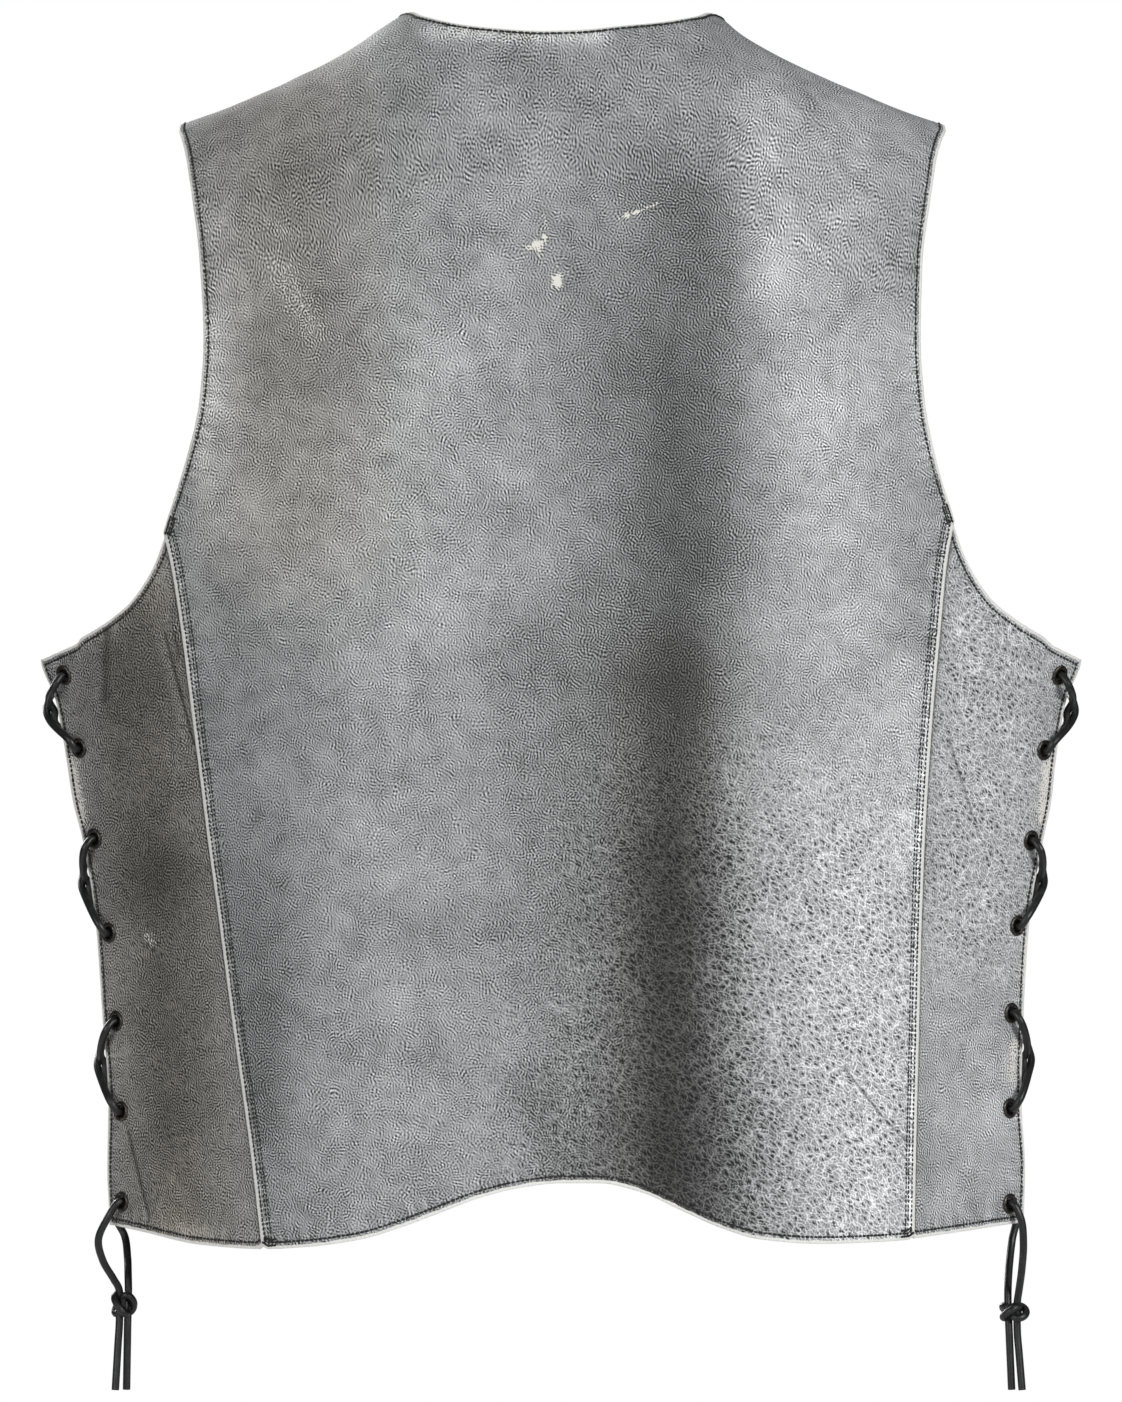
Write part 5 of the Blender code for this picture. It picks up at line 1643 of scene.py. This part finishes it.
def inside_crossing(start, end, reach):
    """Route behind the lacing gap from one eyelet in to the next one out."""
    (a, na), (b, nb) = start, end
    level = 0.5 * (a.z + b.z)
    middle = by_edge(side_of(a), -reach, 0.0, level)
    slope = Vector((0.0, 0.0, b.z - a.z)).normalized()
    near_a = a - na * (LACE_IN + LACE_INSIDE_SWEEP) + slope * LACE_INSIDE_RUN
    near_b = b - nb * (LACE_IN + LACE_INSIDE_SWEEP) - slope * LACE_INSIDE_RUN
    return [(a - na * LACE_IN, 2), (near_a, 2), (middle, 2), (near_b, 2), (b - nb * LACE_IN, 1)]


def top_bar(first, other):
    """Route from the middle of the top bar to the first eyelet."""
    place, normal = first
    near = place - normal * (LACE_IN + TOP_BAR_SWEEP)
    half = 0.5 * SEAM_GAP * (1.0 if place.y > 0.0 else -1.0)
    level = 0.5 * (place.z + other[0].z)
    start = Vector((near.x - side_of(place) * TOP_BAR_INSET, half, level))
    step = Vector((start.x, TOP_BAR_BEND * near.y, level))
    return [(start, 1), (step, 1), (near, 2), (place - normal * LACE_IN, 1)]


def lace_route(first, second, hang, reaches, tail):
    """Strand that leaves one edge's first eyelet, crosses at each step and hangs down through the knot."""
    side = side_of(first[0][0])
    route = top_bar(first[0], second[0])
    edges = (first, second)
    for step in range(len(first) - 1):
        start = edges[step % 2][step]
        end = edges[(step + 1) % 2][step + 1]
        if step % 2 == 0:
            flare = TIP_FLARE if step == 0 else 0.0
            route += outside_crossing(start, end, reaches[0] + TIP_BOW * flare, reaches[2] + flare)
        else:
            route += inside_crossing(start, end, reaches[1])
    place, normal = first[-1]
    route.append((place + normal * LACE_OUT, 2))
    route += [(Vector((side * out, y, z)), 2) for out, y, z in hang]
    out_top, out_end, depth_top, depth_end = tail
    foot = hang[-1][2] - KNOT_LENGTH
    for share in TAIL_SHARES:
        level = foot + (TAIL_END - foot) * share
        out = out_top + (out_end - out_top) * share
        route.append((Vector((side * out, depth_top + (depth_end - depth_top) * share, level)), 3))
    return route


LACE_SIDES = 12
FIRST_TURN = (0.31, 0.87, 0.38)


def tube(name, line, radius, look, closed=False):
    """Round lace along a line, closed or with square-cut ends."""
    line = np.asarray(line, float)
    if closed:
        tangent = unit(np.roll(line, -1, axis=0) - np.roll(line, 1, axis=0))
    else:
        tangent = unit(np.gradient(line, axis=0))
    side = unit(np.cross(tangent[0], FIRST_TURN))
    frames = []
    for t in tangent:
        side = unit(side - t * np.dot(side, t))
        frames.append((side, np.cross(t, side)))
    if closed:
        first, last = frames[0], frames[-1]
        slip = math.atan2(np.dot(last[0], first[1]), np.dot(last[0], first[0]))
        for k, (a, b) in enumerate(frames):
            turn = -slip * k / (len(frames) - 1)
            frames[k] = (a * math.cos(turn) + b * math.sin(turn), b * math.cos(turn) - a * math.sin(turn))
    around = 2.0 * np.pi * np.arange(LACE_SIDES) / LACE_SIDES
    points = np.zeros((len(line), LACE_SIDES, 3))
    for k, (a, b) in enumerate(frames):
        points[k] = line[k] + radius * (np.cos(around)[:, None] * a + np.sin(around)[:, None] * b)
    faces = []
    count = len(line)
    for k in range(count if closed else count - 1):
        after = (k + 1) % count
        for s in range(LACE_SIDES):
            n = (s + 1) % LACE_SIDES
            faces.append((
                k * LACE_SIDES + s, k * LACE_SIDES + n, after * LACE_SIDES + n, after * LACE_SIDES + s,
            ))
    if not closed:
        faces.append(tuple(range(LACE_SIDES - 1, -1, -1)))
        faces.append(tuple((count - 1) * LACE_SIDES + s for s in range(LACE_SIDES)))
    made = add_mesh(name, points.reshape(-1, 3), faces, (look,))
    smooth(made)
    turn = made.data.attributes.new("around", "FLOAT", "POINT")
    turn.data.foreach_set("value", np.tile(around, count).astype("float32"))
    return made


def knot_line(side, out, level, tall, ring, count=216):
    """Closed line of a drawn knot: two wraps that pass over and under each other."""
    t = 2.0 * np.pi * np.arange(count) / count
    radius = ring + KNOT_WRAP * np.cos(3.0 * t)
    turn = 2.0 * t * side
    return np.column_stack((
        side * out + radius * np.cos(turn), radius * np.sin(turn), level + tall * np.sin(3.0 * t),
    ))


knots = {}
for side, out, level, tall, ring in KNOTS:
    word = SIDE_WORDS[side]
    knot = tube("lace_knot_" + word, knot_line(side, out, level, tall, ring), 0.5 * LACE, lace_leather, True)
    settle(knot, "lace_leather", "knot_" + word)
    knots[side] = knot
for side, word in SIDE_WORDS.items():
    back_row = eyelet_spots["side", side]
    front_row = eyelet_spots["front", side]
    for strand, first, second, reaches in (
        ("back", back_row, front_row, BACK_REACH), ("front", front_row, back_row, FRONT_REACH),
    ):
        line = smooth_route(lace_route(first, second, HANGS[side, strand], reaches, TAILS[side, strand]))
        lace = tube("lace_strand_%s_%s" % (word, strand), line, 0.5 * LACE, lace_leather)
        settle(lace, "lace_leather", "lace_%s_%s" % (word, strand), "tail_%s_%s" % (word, strand))
        [knots[side]] if strand == "back" else []


# Panels of leather and their stitching, fixed to the vest's body
NODES = {
    ("back", 0): "back_panel", ("side", -1): "side_panel_left", ("side", 1): "side_panel_right",
    ("front", -1): "front_left", ("front", 1): "front_right",
}
SLOTS = {"back": "leather_back", "side": "leather_sides", "front": "leather_fronts"}
for key, panel in panels.items():
    piece = panel["piece"]
    settle(piece, SLOTS[key[0]], NODES[key])
    for stitching in sewing[key]:
        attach(stitching, "root")


# Floor, lights, backdrop and camera
FLOOR_LEVEL = -800.0
FLOOR_RADIUS = 900.0
FLOOR_THICKNESS = 20.0
FLOOR_SIDES = 96


def add_floor():
    """Plain pale floor."""
    look = Finish("floor_paint")
    place = look.place()
    light = 0.8 + 0.03 * (look.noise(place, 6.0, 3.0, 0.6) - 0.5)
    look.surface({"Base Color": look.scale(NEUTRAL, light), "Roughness": 0.8})
    points, faces = turned(((FLOOR_RADIUS, -FLOOR_THICKNESS), (FLOOR_RADIUS, 0.0)), FLOOR_SIDES)
    points[:, 2] += FLOOR_LEVEL
    floor = add_mesh("floor", points, faces, (look.material,))


def add_light(name, place, aim, size, power):
    """Soft square lamp turned to a point."""
    lamp = bpy.data.lights.new(name, "AREA")
    lamp.shape = "SQUARE"
    lamp.size = size
    lamp.energy = power
    made = bpy.data.objects.new(name, lamp)
    made.location = place
    made.rotation_euler = (Vector(aim) - Vector(place)).to_track_quat("-Z", "Y").to_euler()
    bpy.context.scene.collection.objects.link(made)


def add_backdrop(seen_light, ambient):
    """White behind the vest, and a weaker even light on it."""
    world = bpy.data.worlds.new("studio")
    world.use_nodes = True
    nodes = world.node_tree.nodes
    links = world.node_tree.links
    nodes.clear()
    seen_by_camera = nodes.new("ShaderNodeBackground")
    seen_by_camera.inputs["Color"].default_value = (1.0, 1.0, 1.0, 1.0)
    seen_by_camera.inputs["Strength"].default_value = seen_light
    around = nodes.new("ShaderNodeBackground")
    around.inputs["Color"].default_value = (0.97, 0.98, 1.0, 1.0)
    around.inputs["Strength"].default_value = ambient
    path = nodes.new("ShaderNodeLightPath")
    mix = nodes.new("ShaderNodeMixShader")
    out = nodes.new("ShaderNodeOutputWorld")
    links.new(path.outputs["Is Camera Ray"], mix.inputs[0])
    links.new(around.outputs[0], mix.inputs[1])
    links.new(seen_by_camera.outputs[0], mix.inputs[2])
    links.new(mix.outputs[0], out.inputs[0])
    bpy.context.scene.world = world


add_floor()
MIDDLE = (0.0, 0.0, -0.3)
add_light("key_right", (2.6, -3.0, 0.8), MIDDLE, 1.3, 105.0)
add_light("fill_left", (-2.2, -3.0, 0.2), MIDDLE, 1.8, 50.0)
add_light("front_side", (-1.8, 3.0, 0.9), MIDDLE, 1.6, 100.0)
add_light("top", (0.0, 0.2, 2.6), MIDDLE, 1.6, 12.0)
add_backdrop(1.0, 0.12)

# The photo's height in pixels, and the size of a pixel on the vest
PHOTO_HEIGHT = 1402
PIXEL = 0.55
view = bpy.data.cameras.new("view")
view.lens = view.sensor_width * VIEW_DISTANCE / (PHOTO_HEIGHT * PIXEL)
view.clip_end = 50.0
camera = bpy.data.objects.new("view", view)
camera.location = (-PIXEL * MM, -VIEW_DISTANCE * MM, CAMERA_HEIGHT * MM)
camera.rotation_euler = (0.5 * math.pi, 0.0, 0.0)
bpy.context.scene.collection.objects.link(camera)
scene = bpy.context.scene
scene.camera = camera
scene.view_settings.view_transform = "Standard"
scene.view_settings.look = "None"

bpy.context.view_layer.update()
